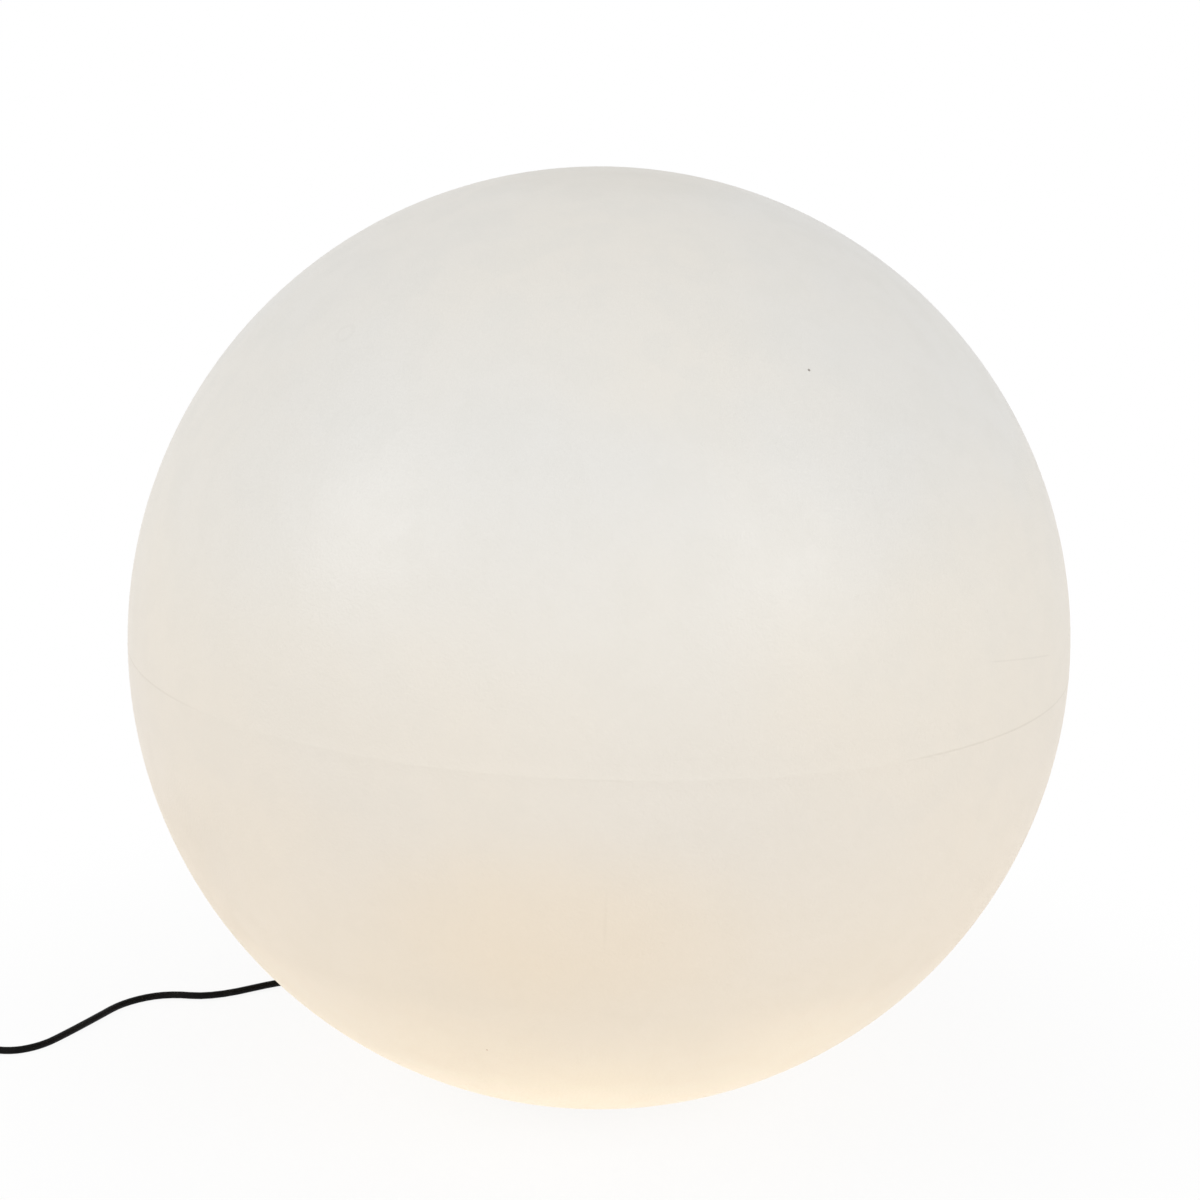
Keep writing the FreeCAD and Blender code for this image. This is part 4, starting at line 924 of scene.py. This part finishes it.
def makePlate():
    # the flange with its skirt, ribs and foot bosses; the notch lets the cord out
    flange = turned(plate["line"], steps=192)
    for angle in plate["ribAngles"]:
        rib = block(plate["ribFrom"], plate["ribTo"])
        combine(flange, laid(rib, turn=(0, 0, angle)), "UNION")
    for angle in foot["angles"]:
        spot = around(foot["circle"], angle)
        boss = rod(plate["bossRadius"], plate["bossLow"], plate["bossHigh"], spot, steps=64)
        combine(flange, boss, "UNION")
    for angle in thumb["angles"]:
        spot = around(thumb["circle"], angle)
        combine(flange, rod(thumb["hole"], plate["holeLow"], plate["holeHigh"], spot), "DIFFERENCE")
    notch = block(plate["notchFrom"], plate["notchTo"])
    combine(flange, laid(notch, turn=(0, 0, plate["notchAngle"])), "DIFFERENCE")
    roundEdges(flange, *plate["round"])
    return settle(flange, "plate_moulding", "base", baseMoulding, ["base_plate"])


turret = {
    "line": [
        (0.057, 0.012), (0.06, 0.012), (0.056, 0.102), (0.0555, 0.1034), (0.054, 0.104), (0.0081, 0.104),
        (0.0081, 0.101), (0.053, 0.101), (0.057, 0.012),
    ],
    "bossSide": 0.032, "bossRadius": 0.0045, "bossLow": 0.092, "bossHigh": 0.1015, "round": (0.0006, 3, 30),
}


def makeTurret():
    # the hollow tower on the flange, with two bosses under its roof for the bracket's screws
    tower = turned(turret["line"], steps=192)
    for side in (-1, 1):
        spot = (side * turret["bossSide"], 0)
        combine(tower, rod(turret["bossRadius"], turret["bossLow"], turret["bossHigh"], spot), "UNION")
    roundEdges(tower, *turret["round"])
    return settle(tower, "turret_moulding", "base", baseMoulding, ["base_turret"])


bulb = {
    "cap": [
        (0.0116, 0.178), (0.0118, 0.178), (0.0121, 0.1785), (0.0121, 0.1997), (0.013, 0.2008),
        (0.013, 0.2046), (0.0127, 0.205), (0.0116, 0.205), (0.0116, 0.178),
    ],
    "thread": {"low": 0.1786, "high": 0.2002, "root": 0.0121, "crest": 0.013, "pitch": 0.0036, "steps": 96},
    "housing": [
        (0.01, 0.198), (0.0116, 0.198), (0.0116, 0.205), (0.0138, 0.205), (0.0142, 0.2053), (0.0145, 0.2063),
        (0.0154, 0.2085), (0.0166, 0.211), (0.0181, 0.2145), (0.0195, 0.218), (0.0209, 0.2215),
        (0.0223, 0.2248), (0.0236, 0.2282), (0.0249, 0.2316), (0.0262, 0.2348), (0.0269, 0.2366),
        (0.027, 0.2376), (0.0268, 0.2379), (0.0254, 0.2379), (0.0254, 0.2364), (0.0238, 0.2364),
        (0.0202, 0.2255), (0.0152, 0.2115), (0.01, 0.206), (0.01, 0.198),
    ],
}


def makeBulb():
    # the threaded cap and the flared neck; the bulb's other pieces keep their CAD shape
    cap = turned(bulb["cap"])
    joined(cap, threaded(**bulb["thread"]))
    settle(cap, "lamp_cap", "bulb", spunAluminium, ["bulb_cap"])
    neck = turned(bulb["housing"], steps=128)
    settle(neck, "lamp_neck", "bulb", whiteHousing, ["bulb_housing"], sharp=40)


makeGlobe()
print("globe made")
makeStrap()
plugPieces = makePlug()
makeCordBoot()
print("strap, plug and cord sleeve made")
makeFeet()
makeThumbScrews()
print("feet and thumb screws made")
makePlate()
makeTurret()
print("base made")
makeBulb()
print("bulb made")

cord = layCord()
print("cord laid")

# The solids whose shape is right as it is keep it, and each gets its own finish.
dressed = {
    brightBrass: ["thread_inserts", "holder_nipple", "screw_shell", "centre_contact", "terminals",
                  "terminal_screws"],
    glandNylon: ["gland_body", "gland_nut", "gland_lock_nut"],
    mattRubber: ["base_seal", "gland_seal", "gland_washer"],
    sheathRubber: ["cable_inner"],
    zincSteel: ["feet_screws", "bracket_screws", "holder_bracket", "nipple_nut", "captive_ring_1",
                "captive_ring_2", "captive_ring_3"],
    blackThermoset: ["holder_cup", "holder_sleeve"],
    glazedCeramic: ["holder_core"],
    spunAluminium: ["bulb_tip"],
    capGlass: ["bulb_insulator"],
    opalPlastic: ["bulb_diffuser"],
    boardLacquer: ["led_board"],
    phosphor: ["led_chips"],
    greenBoard: ["driver_board"],
    brownCore: ["lead_brown"],
    blueCore: ["lead_blue"],
}
for finish, names in dressed.items():
    for name in names:
        for slot in bpy.data.objects[name].material_slots:
            slot.material = finish
print("solids dressed")


# A white floor and a white room. Both look plain white to the camera and in reflections, and the floor keeps
# the light's shadow.
studio = {
    "floorSize": 60, "floorLevel": -0.0003, "floorColour": (0.88, 0.88, 0.88), "floorLift": 0.88,
    "nearRadius": 0.2, "farRadius": 0.8, "roomLight": 0.65,
}


def seenDirectly(start):
    # 1 for what the camera, a reflection or clear glass sees, 0 for light on the way to a surface
    path = [start.node("LightPath", out=name) for name in ("Is Camera Ray", "Is Glossy Ray",
                                                           "Is Transmission Ray")]
    return path[0].maths("MAXIMUM", path[0].maths("MAXIMUM", path[0], path[1]), path[2])


def makeStudio():
    bpy.ops.object.select_all(action="DESELECT")
    bpy.ops.mesh.primitive_plane_add(size=studio["floorSize"], location=(0, 0, studio["floorLevel"]))
    floor = bpy.context.object
    floor.name = "floor"
    material = bpy.data.materials.new("whiteFloor")
    material.use_nodes = True
    material.node_tree.nodes.clear()
    start = Wire(material.node_tree)
    seen = seenDirectly(start)
    spread = start.node("TexCoord", out="Object").away((0, 0, 0)).between(studio["nearRadius"],
                                                                          studio["farRadius"])
    white = start.node("Emission", (), {"Color": (1, 1, 1), "Strength": 1.0})
    matt = start.node("BsdfDiffuse", (), {"Color": studio["floorColour"]})
    share = seen * (studio["floorLift"] + (1 - studio["floorLift"]) * spread)
    shader = start.node("MixShader", (), {0: share, 1: matt, 2: white})
    start.node("OutputMaterial", (), {"Surface": shader})
    floor.data.materials.append(material)

    world = bpy.data.worlds.new("whiteRoom")
    bpy.context.scene.world = world
    world.use_nodes = True
    world.node_tree.nodes.clear()
    start = Wire(world.node_tree)
    room = start.node("Background", (), {"Color": (1, 1, 1), "Strength": studio["roomLight"]})
    white = start.node("Background", (), {"Color": (1, 1, 1), "Strength": 1.0})
    shader = start.node("MixShader", (), {0: seenDirectly(start), 1: room, 2: white})
    start.node("OutputWorld", (), {"Surface": shader})


softboxes = {
    "softboxLeft": {"towards": (-0.746, -0.476, 0.467), "away": 2.4, "size": 1.0, "power": 10},
    "softboxRight": {"towards": (0.618, -0.647, 0.447), "away": 2.4, "size": 1.0, "power": 10},
    "softboxFront": {"towards": (0, -0.9, 0.42), "away": 2.6, "size": 1.6, "power": 4},
}


def hangSoftboxes():
    # each hangs off the globe's centre and faces it
    for name, box in softboxes.items():
        towards = Vector(box["towards"]).normalized()
        bpy.ops.object.light_add(type="AREA", location=Vector(globe["centre"]) + towards * box["away"])
        light = bpy.context.object
        light.name = name
        light.rotation_euler = towards.to_track_quat("Z", "Y").to_euler()
        light.data.size = box["size"]
        light.data.energy = box["power"]


makeStudio()
hangSoftboxes()
bpy.context.scene.view_settings.view_transform = "Standard"
print("studio lit")
